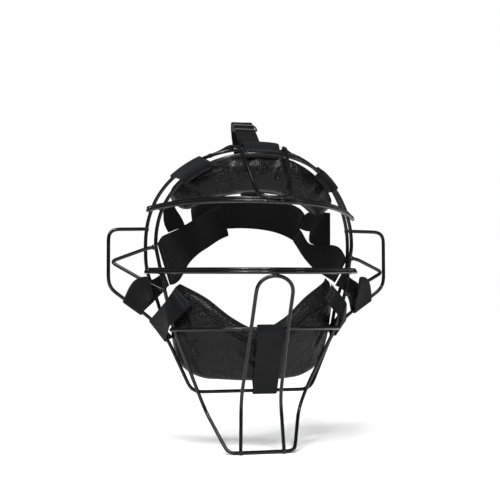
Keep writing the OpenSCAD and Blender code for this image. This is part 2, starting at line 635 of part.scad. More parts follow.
// Side straps: the left one lies along the inside of the back band, the right one starts at the band's end.
// Both run inside the rear frame and out between the two frames.
band_run = unit(back_path[12] - back_path[11]);
band_up = unit([0, 0, 1] - band_run[2] * band_run);
band_arm = band_w / 2 - layer_gap;
arm_gap = 1;
arm_run = 3.4;
band_lay = band_t + layer_gap + 1.1;
fall = [0.35, -0.33, 0.9];
lean = [0.25, 0, 0.95];
side_left_ends = [
    row([-rear_half_w + 25, -3, 13.5], mirrored_for(-1, lean), side_w + 13),
    row([-front_half_w + 10, -frame_gap + 10, 8], mirrored_for(-1, lean), side_w + 8)
];
side_right_ends = [
    row([rear_half_w - 18, -3, 11], lean, side_w - 2),
    row([front_half_w - 9, -frame_gap + 9, 1.5], lean, side_w - 8)
];
function mirrored_for(s, v) = [s * v[0], v[1], v[2]];
side_left_rows = smooth(concat([
    row([-12, band_y - 3.6 - band_lay, band_z - 9.5], mirrored_for(-1, fall), side_w),
    row([-23.5, band_y - 8 - band_lay, band_z - 14.5], mirrored_for(-1, fall), side_w),
    row([-36.5, band_y - 18 - band_lay, band_z - 22], mirrored_for(-1, fall), side_w),
    row([-49.5, 33.5, 36.5], mirrored_for(-1, fall), side_w),
    row([-65, 18, 26], mirrored_for(-1, fall), side_w + 4)
], side_left_ends), 3);
side_right_rows = let(e = back_path[12], up = [0, 0, 1]) concat(
    [row(e + band_run * arm_gap - band_up * band_w / 4, band_up, band_arm)],
    smooth(concat([
        row(e + band_run * arm_run - band_up * band_w / 4, band_up, band_arm),
        row([rear_half_w - 36, 31.5, 24], up + lean, waist_w),
        row([rear_half_w - 27, 17, 16.5], lean, side_w - 9)
    ], side_right_ends), 3));
module side_strap_left() color(elastic) ribbon(side_left_rows, band_t);
module side_strap_right() color(elastic) ribbon(side_right_rows, band_t);

// Side loop: webbing from the side strap, behind the front frame and the ear brace, round the ear guard's
// slanted wire and back in front of the brace
loop_point = mix(jaw_half[2], jaw_knee, 0.58);
loop_run = unit(jaw_knee - jaw_half[2]);
loop_out = unit(cross(loop_run, [0, -1, 0]));
loop_pass = 2 * wire_r + band_t;
function loop_at(r, a) = loop_point + r * (cos(a) * [0, -1, 0] + sin(a) * loop_out);
function side_loop_rows() = let(
        r = wire_r + wrap_gap + band_t / 2,
        down = [0.1, 0, -1],
        slant = unit(loop_run + down))
    concat(
        smooth([
            row(front_z(-6) + [5, 10, 0], down, loop_w - 5),
            row(front_z(-11) + [-1, loop_pass + 0.4, 0], down, loop_w - 8),
            row(front_z(-20) + [-14, 15.5, 0], slant, loop_w - 3),
            row(loop_at(r + 0.5, 240), loop_run, loop_w)
        ], 3),
        [for (a = [225:-25:50]) row(loop_at(r, a), loop_run, loop_w)],
        smooth([
            row(loop_at(r + 0.8, 40), loop_run, loop_w),
            row(front_z(-20) + [-21.5, 9.5, 2], slant, loop_w + 2),
            row(front_z(-15) + [-13, -0.5, 0], down, loop_w - 2)
        ], 3));
module side_loop_left() color(webbing) ribbon(side_loop_rows(), band_t);
module side_loop_right() mirror([1, 0, 0]) side_loop_left();

// Temple straps, from the side straps' upper edges up to the forehead cushion's ends. The right one is a
// yoke that also takes the upper half of the back band's end.
temple_left_rows = smooth([
    row([-72.5, 13.5, 44], [0.85, -0.35, 0.45], temple_w),
    row([-77, 10.5, 52.5], [0.88, -0.3, 0.4], temple_w),
    row([-80.5, 7, 61], [0.9, -0.1, 0.35], temple_w - 5),
    row([-82.5, 4.6, 67], [0.95, 0, 0.3], temple_w - 7)
], 2);
temple_right_rows = let(e = back_path[12], up = [0, 0, 1]) concat(
    [for (f = [arm_gap, arm_run]) row(e + band_run * f + band_up * band_w / 4, band_up, band_arm)],
    [row([rear_half_w - 32, 31, 54.5], up, band_w / 2 + 4),
    row([rear_half_w - 28, 23.5, 53.5], up, band_w / 2 + 7),
    row([rear_half_w - 27.4, 22.5, 47], up, side_w),
    row([rear_half_w - 22.5, 14, 46.5], up, side_w - 2),
    row([rear_half_w - 17.5, 6, 46.5], up, side_w - 4)]);
module temple_strap_left() color(elastic) ribbon(temple_left_rows, band_t);
module temple_strap_right() color(elastic) ribbon(temple_right_rows, band_t, false);

// Top strap: from the rear of the forehead's top tab over the head to the back band
seat_low = rear_x(top_x - top_w / 2);
seat_high = rear_x(top_x + top_w / 2);
seat_run = unit(seat_high - seat_low);
strap_seat = (seat_low + seat_high) / 2 + [0, crown_r + tab_t / 2 + band_t / 2 + layer_gap, 0];
strap_rise = [0.3, 3.5, 9];
strap_high = [top_x + 4, 20, top_z - 2];
strap_foot = [band_x + 12, band_y - 1, band_z + band_w / 2 + layer_gap + 0.2];
across_x = [1, 0, 0];
top_rows = concat(
    smooth([
        row(strap_seat + [0, 0, -crown_rear_l + 3], seat_run, top_w),
        row(strap_seat + [0, 0, -4], seat_run, top_w),
        row(strap_seat + [0, 0.8, 3], seat_run, top_w),
        row(strap_seat + strap_rise, across_x, top_w)
    ], 2),
    smooth([
        row(strap_high, across_x, top_w),
        row([top_x + 5, 32, top_z + 1], across_x, top_w),
        row([top_x + 9, 48, top_z - 10], across_x, top_w),
        row([band_x + 2, band_y - 8, 122], across_x, top_w),
        row(strap_foot + [-3, 0, 18], across_x, top_w + 2),
        row(strap_foot + [0, 0, 5], across_x, top_w + 5)
    ], 3),
    [row(strap_foot, across_x, top_w + 5)]);
module top_strap() color(elastic) ribbon(top_rows, band_t);

// Buckle: two end bars above the strap, a middle bar below it, and a rail at each side
run_start = strap_seat + strap_rise;
run_u = unit(strap_high - run_start);
run_v = unit([1, 0, 0] - run_u[0] * run_u);
run_n = cross(run_v, run_u);
buckle_at = 0.72;
buckle_gap = 0.3;
buckle_c = mix(run_start, strap_high, buckle_at);
bar_n = band_t / 2 + buckle_gap + buckle_bar / 2;
rail_v = top_w / 2 + buckle_gap + buckle_bar / 2;
module cross_bar(u, n)
    translate([u, 0, n])
    rotate([90, 0, 0]) cylinder(d = buckle_bar, h = 2 * rail_v, center = true, $fn = 24);
module strap_buckle()
    color(plastic)
    multmatrix([
        [run_u[0], run_v[0], run_n[0], buckle_c[0]],
        [run_u[1], run_v[1], run_n[1], buckle_c[1]],
        [run_u[2], run_v[2], run_n[2], buckle_c[2]],
        [0, 0, 0, 1]
    ]) {
        cross_bar(buckle_l / 2 - buckle_bar / 2, bar_n);
        cross_bar(-buckle_l / 2 + buckle_bar / 2, bar_n);
        cross_bar(0, -bar_n);
        for (s = [-1, 1])
            translate([0, s * rail_v, 0])
                cube([buckle_l, buckle_bar, 2 * bar_n + buckle_bar * 0.8], center = true);
    }

rear_frame_wire();
front_frame_wire();
jaw_and_ear_wire();
top_loop_wire();
brow_bar_front();
brow_bar_rear();
eye_bar_front();
eye_bar_rear();
chin_bar();
throat_loop_wire();
ear_brace_left();
ear_brace_right();
forehead_cover();
forehead_foam();
forehead_lining();
chin_cover();
chin_foam();
chin_lining();
forehead_tab_left();
forehead_tab_right();
forehead_tab_top();
chin_tab_left();
chin_tab_right();
chin_tab_middle();
forehead_flap_left();
forehead_flap_right();
chin_flap_left();
chin_flap_right();
chin_flap_middle();
back_band();
side_strap_left();
side_strap_right();
side_loop_left();
side_loop_right();
temple_strap_left();
temple_strap_right();
top_strap();
strap_buckle();
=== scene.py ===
import itertools
import math

import bmesh
import bpy
import numpy as np
from mathutils import Matrix, Vector, noise


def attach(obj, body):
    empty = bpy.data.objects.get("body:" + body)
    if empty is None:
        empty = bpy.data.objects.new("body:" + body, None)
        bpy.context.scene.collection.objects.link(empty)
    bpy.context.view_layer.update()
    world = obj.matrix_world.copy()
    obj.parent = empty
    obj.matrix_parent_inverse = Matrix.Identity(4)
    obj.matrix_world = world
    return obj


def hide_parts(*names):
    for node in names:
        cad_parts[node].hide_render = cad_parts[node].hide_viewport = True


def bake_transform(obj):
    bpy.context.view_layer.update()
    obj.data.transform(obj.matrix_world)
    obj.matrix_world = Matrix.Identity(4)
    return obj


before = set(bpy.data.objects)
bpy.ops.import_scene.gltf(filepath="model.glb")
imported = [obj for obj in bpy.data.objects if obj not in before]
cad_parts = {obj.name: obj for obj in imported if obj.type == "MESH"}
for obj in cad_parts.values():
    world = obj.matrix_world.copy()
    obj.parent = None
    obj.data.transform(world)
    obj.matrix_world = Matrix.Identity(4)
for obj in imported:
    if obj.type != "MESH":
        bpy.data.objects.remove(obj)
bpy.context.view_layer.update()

MM = 0.001
PI = math.pi

# ---- Sizes of the frame, in millimetres, as in the part's source

WIRE_D = 3.6
WIRE_R = WIRE_D / 2
WELD_PITCH = 0.9 * WIRE_D
TEMPLE_Z = 25
ARCH_N = 2.23
REAR_HALF_W, REAR_CROWN_Z, REAR_CROWN_Y = 106, 122, 38
FRAME_STEP, FRAME_GAP, CROWN_STEP = 6, 31, 8
FRONT_HALF_W = REAR_HALF_W - FRAME_STEP
FRONT_CROWN_Z, FRONT_CROWN_Y = REAR_CROWN_Z - CROWN_STEP, 35
CHIN_HALF_W, CHIN_Y, CHIN_Z = 82, 85, 56
THROAT_HALF_W, THROAT_Z = 57, 119
BOTTOM_HALF_W, BOTTOM_Y, BOTTOM_Z = 33, 57, 173.5
BROW_Y, BROW_Z, BROW_DROOP = 115, 64.5, 7
BROW_TILT = math.radians(1.7)
EYE_Y = 111
BAR_END = 20
TOP_LOOP_HALF_W, THROAT_LOOP_HALF_W = 22, 17.5
EAR_HALF_W, EAR_TOP_Z, EAR_LOW_Z = 143.4, 43, 15
BRACE_Z, BRACE_DROP = 24, 10
BROW_PAD_T, BROW_PAD_W, CHIN_PAD_T = 17, 36, 15
BROW_TAB_LEFT_W, BROW_TAB_RIGHT_W, CROWN_TAB_W = 34, 28, 37
CHIN_TAB_LEFT_W, CHIN_TAB_RIGHT_W, THROAT_TAB_W = 27, 21, 25
TAB_T, FLAP_L, CHIN_FLAP_L = 1.6, 24, 13
BAND_W, BAND_T = 35, 1.8
BAND_X, BAND_Y, BAND_Z = 8, 70, 65.5
SIDE_W, WAIST_W, LOOP_W, TEMPLE_W = 36, 16, 23, 19
TOP_W, TOP_X, TOP_Z = 22, -6, 156
BUCKLE_BAR, BUCKLE_L = 1.8, 15
WRAP_GAP, LAYER_GAP = 0.5, 0.3
SWEEP_N = DROOP_N = 4
BEND_R = 9


# ---- Points and curves

def V(x, y, z):
    return np.array((x, y, z), float)


X_AXIS, UP = V(1, 0, 0), V(0, 0, 1)


def unit(v):
    v = np.asarray(v, float)
    return v / np.linalg.norm(v)


def units(a):
    """Every vector of an array at a length of 1."""
    return a / np.maximum(np.linalg.norm(a, axis=-1, keepdims=True), 1e-9)


def square_to(v, t):
    """The direction of v, turned square to the direction t."""
    return unit(v - (v @ t) * t)


def mirrored(p):
    return np.asarray(p, float) * (-1, 1, 1)


def mix(a, b, f):
    return a + (b - a) * f


def both(points):
    return list(points) + [mirrored(p) for p in points[::-1]]


def lengths(p):
    """How far along a line each of its points is."""
    return np.concatenate([[0], np.cumsum(np.linalg.norm(np.diff(p, axis=0), axis=1))])


def line_at(at, d, p):
    """The line p, whose points are at the lengths d, read at other lengths."""
    return np.stack([np.interp(at, d, p[:, k]) for k in range(p.shape[1])], -1)


def tangents(p):
    """The direction of a line at each of its points."""
    return units(np.concatenate([p[1:2] - p[:1], p[2:] - p[:-2], p[-1:] - p[-2:-1]]))


def cat(a, b, c, d, f):
    return 0.5 * (2 * b + (c - a) * f + (2 * a - 5 * b + 4 * c - d) * f * f
                  + (3 * b - a - 3 * c + d) * f * f * f)


def smooth(points, n):
    """A curve through points, with n steps between each two."""
    p = [np.asarray(q, float) for q in points]
    last = len(p) - 1
    return [cat(p[max(i - 1, 0)], p[i], p[i + 1], p[min(i + 2, last)], j / n)
            for i in range(last) for j in range(n)] + [p[-1]]


def bend(a, b, c, r, n):
    """A rounded corner at b on the way from a to c; r is how far from b it begins."""
    a, b, c = (np.asarray(q, float) for q in (a, b, c))
    k = min(r, 0.48 * np.linalg.norm(b - a), 0.48 * np.linalg.norm(c - b))
    s, e = b + unit(a - b) * k, b + unit(c - b) * k
    return [(1 - f) ** 2 * s + 2 * f * (1 - f) * b + f * f * e for f in np.linspace(0, 1, n + 1)]


def bent(points, r, n=12):
    out = [np.asarray(points[0], float)]
    for a, b, c in zip(points, points[1:], points[2:]):
        out += bend(a, b, c, r, n)
    return out + [np.asarray(points[-1], float)]


def spow(v, n):
    return max(v, 0.0) ** n


# An arch is its half width, the height of its crown, how far forward its foot is and its crown's reach
REAR = REAR_HALF_W, REAR_CROWN_Z, 0, REAR_CROWN_Y
FRONT = FRONT_HALF_W, FRONT_CROWN_Z, FRAME_GAP, FRONT_CROWN_Y


def arch(deg, w, top, y0, dy):
    a = math.radians(deg)
    f = spow(math.sin(a), 2 / ARCH_N)
    c = math.cos(a)
    return V(-math.copysign(1, c) * w * spow(abs(c), 2 / ARCH_N), -y0 - dy * f ** SWEEP_N,
             mix(TEMPLE_Z, top, f))


def arch_at_x(x, w, top, y0, dy):
    f = spow(1 - spow(abs(x) / w, ARCH_N), 1 / ARCH_N)
    return V(x, -y0 - dy * f ** SWEEP_N, mix(TEMPLE_Z, top, f))


def arch_at_z(z, w, top, y0, dy):
    f = max((z - TEMPLE_Z) / (top - TEMPLE_Z), 0)
    return V(-w * spow(1 - spow(f, ARCH_N), 1 / ARCH_N), -y0 - dy * f ** SWEEP_N, z)


def rear_x(x):
    return arch_at_x(x, *REAR)


# Jaw wire, front frame and rear frame
EAR_Y = 6
JAW_Y = 9
JAW_Z = mix(EAR_LOW_Z, THROAT_Z, 0.5)
JAW_HALF_W = CHIN_HALF_W + 2.5
THROAT_Y = 18
REAR_LOW_Y = THROAT_Y - WELD_PITCH
JAW_KNEE_Z = EAR_LOW_Z + 32
jaw_knee = V(-JAW_HALF_W - 15.5, -EAR_Y - 1, -JAW_KNEE_Z)
jaw_point = V(-JAW_HALF_W, -JAW_Y, -JAW_Z)
jaw_corner = V(-THROAT_HALF_W - 4, -REAR_LOW_Y, -THROAT_Z)
jaw_half = [arch_at_z(EAR_TOP_Z, *REAR), V(-EAR_HALF_W, -EAR_Y, EAR_TOP_Z - 1),
            V(-EAR_HALF_W, -EAR_Y - 1, -EAR_LOW_Z), jaw_knee, jaw_point, jaw_corner]
front_side = [
    V(-FRONT_HALF_W, -FRAME_GAP, TEMPLE_Z),
    V(-CHIN_HALF_W - 9, -FRAME_GAP - 7, -22),
    V(-CHIN_HALF_W, -FRAME_GAP - 2, -CHIN_Z),
    V(-THROAT_HALF_W, -THROAT_Y, -THROAT_Z + 4),
    V(-mix(THROAT_HALF_W, BOTTOM_HALF_W, 0.38), -THROAT_Y, -mix(THROAT_Z, BOTTOM_Z, 0.35)),
    V(-BOTTOM_HALF_W, -BOTTOM_Y, -BOTTOM_Z),
    V(0, -BOTTOM_Y - 1, -BOTTOM_Z),
]


def fall_at(p, z):
    """The place on a falling line of points at the height z."""
    i = 0
    while not (z >= p[i + 1][2] or i >= len(p) - 2):
        i += 1
    return mix(p[i], p[i + 1], (p[i][2] - z) / (p[i][2] - p[i + 1][2]))


def front_z(z):
    return arch_at_z(z, *FRONT) if z > TEMPLE_Z else fall_at(front_side, z)


rear_foot = mix(jaw_knee, jaw_point, 0.8) + (WIRE_R + 0.6, WIRE_R, 0)
rear_side = [V(-REAR_HALF_W, 0, TEMPLE_Z), V(-REAR_HALF_W + 0.5, 0, 3),
             V(-mix(REAR_HALF_W, JAW_HALF_W, 0.58), 0, -29), rear_foot]
ARCH_STEPS = 104
FRONT_BENDS = ((26, 12), (18, 10), (12, 8), (14, 12), (6, 12))
rear_down = bent(rear_side, 22)
rear_path = (rear_down[::-1] + [arch(180 * i / ARCH_STEPS, *REAR) for i in range(1, ARCH_STEPS)]
             + [mirrored(p) for p in rear_down])
front_low = [p for i, (r, n) in enumerate(FRONT_BENDS) for p in bend(*front_side[i:i + 3], r, n)]
front_path = ([arch(180 * i / ARCH_STEPS, *FRONT) for i in range(ARCH_STEPS + 1)]
              + [mirrored(p) for p in front_low] + front_low[::-1])
jaw_path = both(bent(jaw_half + [V(-20, -REAR_LOW_Y, -THROAT_Z)], BEND_R))

# Bars
REAR_SHIFT = V(0, 0.66 * WIRE_D, 0.72 * WIRE_D)


def bar_ends(p, y):
    """Half the length of a bar welded at p, and how far forward its ends are."""
    x, yy = -p[0] + 0.66 * WIRE_D, -p[1] + 0.75 * WIRE_D
    k = (y - yy) / x ** 2
    end = x + BAR_END / math.hypot(1, 2 * k * x)
    return end, y - k * end ** 2


def bar(ends, y, z, droop=0, tilt=0, rear=False):
    """A bowed bar. The rear one of a pair lies on the front one and is 1 mm shorter at each end."""
    reach = ends[0] - rear
    return [V(x, -y + (y - ends[1]) * x * x / reach ** 2,
              z - droop * (abs(x) / reach) ** DROOP_N - x * math.tan(tilt)) + REAR_SHIFT * rear
            for x in np.linspace(-reach, reach, 89)]


brow_bar = bar_ends(front_z(BROW_Z - BROW_DROOP / 2), BROW_Y), BROW_Y, BROW_Z, BROW_DROOP, BROW_TILT
eye_bar = bar_ends(front_z(0), EYE_Y), EYE_Y, 0
chin_weld = fall_at(front_side, -CHIN_Z) + (0, -0.95 * WIRE_D, 0)
CHIN_TIP = 3.5
CHIN_RISE = 3


def chin_bar_at(x):
    k = (x / chin_weld[0]) ** 2
    return V(x, -CHIN_Y + (CHIN_Y + chin_weld[1]) * k, -CHIN_Z + CHIN_RISE * (1 - k))


chin_path = [chin_bar_at(x) for x in np.linspace(-1, 1, 65) * (CHIN_TIP - chin_weld[0])]

# Loops and braces
loop_cross = arch_at_x(-TOP_LOOP_HALF_W, *FRONT) + (0, -0.66 * WIRE_D, 0.72 * WIRE_D)
loop_over = rear_x(-TOP_LOOP_HALF_W - 6) + (0, 0, 0.96 * WIRE_D)
LOOP_FOOT_Z = BROW_Z + 0.75 * WIRE_D + REAR_SHIFT[2] / 2
top_loop_half = [
    rear_x(-TOP_LOOP_HALF_W - 24) + (0, 0.98 * WIRE_D, 0),
    rear_x(-TOP_LOOP_HALF_W - 14) + (0, 0.96 * WIRE_D, 0.25 * WIRE_D),
    loop_over + (0, 1.5, 0.4),
    loop_over + (2.4, -8, -0.6),
    loop_cross,
    V(-TOP_LOOP_HALF_W + 5.5, -mix(-loop_cross[1], BROW_Y, 0.72), mix(loop_cross[2], LOOP_FOOT_Z, 0.82)),
    V(-TOP_LOOP_HALF_W + 9.5, -BROW_Y + 2.5, LOOP_FOOT_Z + 1.4),
    V(-TOP_LOOP_HALF_W + 16, -BROW_Y + 0.2, LOOP_FOOT_Z),
]

THROAT_LOOP_TOP = V(0, -EYE_Y + 0.4, -WELD_PITCH)
throat_loop_half = [
    V(-THROAT_LOOP_HALF_W - 4, -BOTTOM_Y - WELD_PITCH, -BOTTOM_Z),
    V(-THROAT_LOOP_HALF_W - 2, -BOTTOM_Y + 3.5, -THROAT_Z - 2.5),
    V(-THROAT_LOOP_HALF_W - 0.3, -CHIN_Y + 0.5 - WIRE_D, -CHIN_Z + 3),
    V(-THROAT_LOOP_HALF_W, -EYE_Y + 3, -THROAT_LOOP_HALF_W),
]


def throat_arch(deg):
    s, c = math.sin(math.radians(deg)), math.cos(math.radians(deg))
    return THROAT_LOOP_TOP + (-THROAT_LOOP_HALF_W * c, 2.6 * (1 - s),
                              -(THROAT_LOOP_HALF_W - WELD_PITCH) * (1 - s))


throat_loop_path = both(bent(throat_loop_half, 12) + [throat_arch(a) for a in np.arange(15, 89, 5)])


def brace_path(drop):
    top = front_z(BRACE_Z - drop) + (-WELD_PITCH, 0, 0)
    elbow = V(-EAR_HALF_W + WELD_PITCH, -EAR_Y - 2, 10 - drop)
    low = front_z(-17 - drop / 2) + (-0.7 * WIRE_D, -0.2 * WIRE_D, 0)
    return bent([top, top + (-5, 1.5, -1), elbow + (0, 0, 0.7), elbow - (0, 0, 0.7),
                 low + (-12, 9, 6), low], 5)


# ---- Meshes

def place(name, data):
    """An object of the scene from its data."""
    obj = bpy.data.objects.new(name, data)
    bpy.context.scene.collection.objects.link(obj)
    return obj


def edited(mesh, work, into=None):
    """Runs work on a mesh; its result goes into the same mesh or another."""
    bm = bmesh.new()
    bm.from_mesh(mesh)
    work(bm)
    bm.to_mesh(into or mesh)
    bm.free()


def new_object(name, verts_mm, faces, mat, uv=None):
    """A mesh object from points in millimetres. uv gives a (u, v) in metres for each vertex."""
    mesh = bpy.data.meshes.new(name)
    mesh.from_pydata([tuple(np.asarray(v, float) * MM) for v in verts_mm], [], faces)
    mesh.validate()
    if uv is not None:
        layer = mesh.uv_layers.new(name="weave")
        index = np.zeros(len(mesh.loops), np.int32)
        mesh.loops.foreach_get("vertex_index", index)
        layer.data.foreach_set("uv", np.asarray(uv, np.float32)[index].ravel())
    edited(mesh, lambda bm: bmesh.ops.recalc_face_normals(bm, faces=bm.faces))
    for p in mesh.polygons:
        p.use_smooth = True
    if mat is not None:
        mesh.materials.append(mat)
    return place(name, mesh)


def joined(name, parts, mat):
    """One object from several (verts, faces) lists."""
    verts, faces = [], []
    for v, f in parts:
        k = len(verts)
        verts += list(v)
        faces += [tuple(i + k for i in face) for face in f]
    return new_object(name, verts, faces, mat)


def skin(rows, cols, closed=False, capped=False):
    """Faces between rings of cols points; closed joins the last ring to the first."""
    faces = []
    for i in range(rows if closed else rows - 1):
        a, b = i * cols, (i + 1) % rows * cols
        faces += [(a + k, a + (k + 1) % cols, b + (k + 1) % cols, b + k) for k in range(cols)]
    if capped:
        faces += [tuple(range(cols))[::-1], tuple((rows - 1) * cols + k for k in range(cols))]
    return faces


def circle(c, r, u, v, sides):
    return [c + r * (math.cos(a) * u + math.sin(a) * v)
            for a in (2 * PI * k / sides for k in range(sides))]


def resample(path, step, closed=False):
    """Points at an even spacing of about step along a path."""
    p = np.array(list(path) + [path[0]] if closed else path, float)
    p = p[np.concatenate([[True], np.linalg.norm(np.diff(p, axis=0), axis=1) > 1e-6])]
    d = lengths(p)
    out = line_at(np.linspace(0, d[-1], max(int(round(d[-1] / step)), 2) + 1), d, p)
    return out[:-1] if closed else out


def soften(path, times, closed=False):
    """Evens the bends of a path of evenly spaced points; an open one keeps its ends."""
    p = np.array(path)
    for _ in range(times):
        q = 0.25 * np.roll(p, 1, 0) + 0.5 * p + 0.25 * np.roll(p, -1, 0)
        if not closed:
            q[0], q[-1] = p[0], p[-1]
        p = q
    return p


def frames(path, closed=False):
    """Tangent and two normals at each point, with as little twist as possible."""
    p = np.asarray(path)
    n = len(p)
    t = units(np.roll(p, -1, 0) - np.roll(p, 1, 0)) if closed else tangents(p)
    u = [square_to(V(0, 1, 0) if abs(UP @ t[0]) > 0.9 else UP, t[0])]
    for i in range(1, n):
        u.append(square_to(u[-1], t[i]))
    u = np.array(u)
    if closed:
        w = square_to(u[-1], t[0])
        twist = math.atan2(np.cross(u[0], w) @ t[0], u[0] @ w)
        for i in range(n):
            a = -twist * i / n
            u[i] = u[i] * math.cos(a) + np.cross(t[i], u[i]) * math.sin(a)
    return t, u, np.cross(t, u)


def tube_mesh(path, r, sides, closed=False, end_r=0.5):
    """Points and faces of a round wire. end_r is how far its cut ends are rounded."""
    t, u, v = frames(path, closed)
    c = np.array(path, float)
    if closed:
        rings = [(c[i], r, i) for i in range(len(c))]
    else:
        ends = [(0, r - end_r), (0.3 * end_r, r - 0.4 * end_r), (end_r, r)]
        rings = [(c[0] + t[0] * d, size, 0) for d, size in ends]
        rings += [(c[i], r, i) for i in range(1, len(c) - 1)]
        rings += [(c[-1] - t[-1] * d, size, -1) for d, size in ends[::-1]]
    verts = [q for p, size, i in rings for q in circle(p, size, u[i], v[i], sides)]
    return verts, skin(len(rings), sides, closed, not closed)


def add_piece(obj, body, slot, *nodes, blend=None):
    """Puts a piece on its body, or, when blend is given, bakes its place into its mesh and puts it on no
    body. Hides the CAD nodes it stands for.
    """
    if blend:
        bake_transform(obj)
    else:
        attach(obj, body)
    if nodes:
        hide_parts(*nodes)
    return obj


# ---- Materials

def times(colour, k):
    return tuple(c * k for c in colour)


class Nodes:
    """A material and short ways to add nodes. A value is a number, a vector or a node's output."""

    def __init__(self, name, base, roughness, **sockets):
        self.mat = bpy.data.materials.new(name)
        self.mat.use_nodes = True
        self.tree = self.mat.node_tree
        self.at = self.node("TexCoord").outputs["Object"]
        self.to(Base_Color=(*base, 1), Roughness=roughness, **sockets)

    def put(self, value, target):
        if isinstance(value, bpy.types.NodeSocket):
            self.tree.links.new(value, target)
        else:
            target.default_value = value

    def fill(self, node, inputs):
        for key, value in inputs.items():
            self.put(value, node.inputs[key.replace("_", " ")])

    def node(self, kind, **inputs):
        node = self.tree.nodes.new("ShaderNode" + kind)
        self.fill(node, inputs)
        return node

    def feed(self, node, *values):
        """Puts values into a node's first inputs and gives its first output."""
        for value, target in zip(values, node.inputs):
            self.put(value, target)
        return node.outputs[0]

    def to(self, **inputs):
        self.fill(self.tree.nodes["Principled BSDF"], inputs)

    def math(self, op, *values):
        node = self.node("Math")
        node.operation = op
        return self.feed(node, *values)

    def total(self, *terms):
        """The sum of values, each times its weight."""
        parts = [self.math("MULTIPLY", value, weight) for value, weight in terms]
        out = parts[0]
        for part in parts[1:]:
            out = self.math("ADD", out, part)
        return out

    def ramp(self, fac, *stops):
        """Colours between two stops, each a place and a colour."""
        node = self.node("ValToRGB")
        for e, (at, colour) in zip(node.color_ramp.elements, stops):
            e.position, e.color = at, (*colour, 1)
        return self.feed(node, fac)

    def grey(self, fac, low, high, a=0.0, b=1.0):
        """Maps fac from a..b to low..high."""
        return self.feed(self.node("MapRange"), fac, a, b, low, high)

    def bump(self, height, strength, distance):
        return self.node("Bump", Strength=strength, Distance=distance, Height=height).outputs[0]

    def noise(self, scale, detail, rough, out="Fac"):
        return self.node("TexNoise", Scale=scale, Detail=detail, Roughness=rough, Vector=self.at).outputs[out]

    def voronoi(self, scale, feature, at=None, **inputs):
        node = self.node("TexVoronoi")
        node.feature = feature
        self.fill(node, dict(inputs, Scale=scale, Vector=self.at if at is None else at))
        return node.outputs["Distance"]


# Gloss black powder coat: a faint orange peel, a few dull patches and dust specks
coat = Nodes("gloss_powder_coat", (0.0025, 0.0025, 0.003), 0.2, Coat_Weight=0.3, Coat_Roughness=0.05,
             Specular_IOR_Level=0.12)
dull = coat.noise(55, 3.0, 0.6)
speck = coat.math("LESS_THAN", coat.voronoi(420, "F1"), 0.07)
coat.to(Roughness=coat.total((coat.grey(dull, 0.14, 0.3, 0.3, 0.7), 1), (speck, 0.25)),
        Base_Color=coat.ramp(dull, (0.25, (0.002, 0.002, 0.0024)), (0.75, (0.005, 0.005, 0.0056))),
        Normal=coat.bump(coat.noise(900, 2.0, 0.55), 0.18, 0.00025))


def leather_material(name, base, gloss, grain=460):
    """Pebbled leather: round pebbles of about 2 mm, fine pores, soft wear and colour changes, with painted
    shade that darkens the valleys between the pebbles.
    """
    m = Nodes(name, base, gloss, Specular_IOR_Level=0.14, Coat_Weight=0.05, Coat_Roughness=0.15)
    node = m.node("VectorMath")
    node.operation = "MULTIPLY_ADD"
    warped = m.feed(node, m.noise(300, 1.0, 0.5, "Color"), (0.0012,) * 3, m.at)
    cell = m.voronoi(grain, "SMOOTH_F1", warped, Smoothness=0.45)
    pebble = m.math("SUBTRACT", 1.0, m.math("MULTIPLY", cell, cell))
    valley = m.grey(m.voronoi(grain, "DISTANCE_TO_EDGE", warped), 0.0, 1.0, 0.0, 0.16)
    height = m.total((pebble, 0.75), (valley, 0.35), (m.noise(3200, 2.0, 0.6), 0.03))
    soft = m.noise(38, 3.0, 0.55)
    # Base colour: soft random tone times painted shade, darker in the valleys between the pebbles
    tone_and_painted_shade = m.math("MULTIPLY", m.grey(soft, 0.55, 1.0, 0.3, 0.7), m.grey(valley, 0.6, 1.0))
    m.to(Base_Color=m.ramp(tone_and_painted_shade, (0.25, times(base, 0.55)), (0.95, times(base, 1.35))),
         Roughness=m.math("ADD", m.grey(valley, gloss + 0.2, gloss - 0.06),
                          m.grey(soft, -0.05, 0.08, 0.3, 0.7)),
         Normal=m.bump(height, 1.0, 0.0006))
    return m.mat


def webbing_material(name, base, rough, rib, sheen, across, pitch):
    """Woven webbing: ribs along the strap, crossed by the weft, with stray fuzz. rib is their depth. Its
    colour follows the weave's height: painted shade in the hollows and painted light on the crests.
    """
    m = Nodes(name, base, rough, Sheen_Weight=sheen, Sheen_Roughness=0.45, Specular_IOR_Level=0.06)
    node = m.node("UVMap")
    node.uv_map = "weave"
    u, v = m.node("SeparateXYZ", Vector=node.outputs[0]).outputs[:2]
    turns = pitch * 2 * PI
    warp = m.math("SINE", m.total((v, turns)))
    weft = m.math("SINE", m.total((u, turns * across)))
    twill = m.math("SINE", m.total((u, turns * 1.4), (v, turns * 1.4)))
    fuzz = m.noise(5200, 3.0, 0.7)
    height = m.total((m.math("ABSOLUTE", warp), 0.55), (m.math("MULTIPLY", warp, weft), 0.35),
                     (twill, 0.12), (fuzz, 0.5))
    # Base colour: painted shade in the weave's hollows and painted light on its crests, with slow random tone
    tone_and_painted_shade = m.total((m.grey(height, 0.0, 1.0, 0.0, 1.1), 0.65), (m.noise(70, 3.0, 0.6), 0.35))
    m.to(Base_Color=m.ramp(tone_and_painted_shade, (0.2, times(base, 0.6)), (0.9, times(base, 1.5))),
         Roughness=m.grey(fuzz, rough - 0.06, rough + 0.12, 0.3, 0.7),
         Normal=m.bump(height, 0.7, rib))
    return m.mat
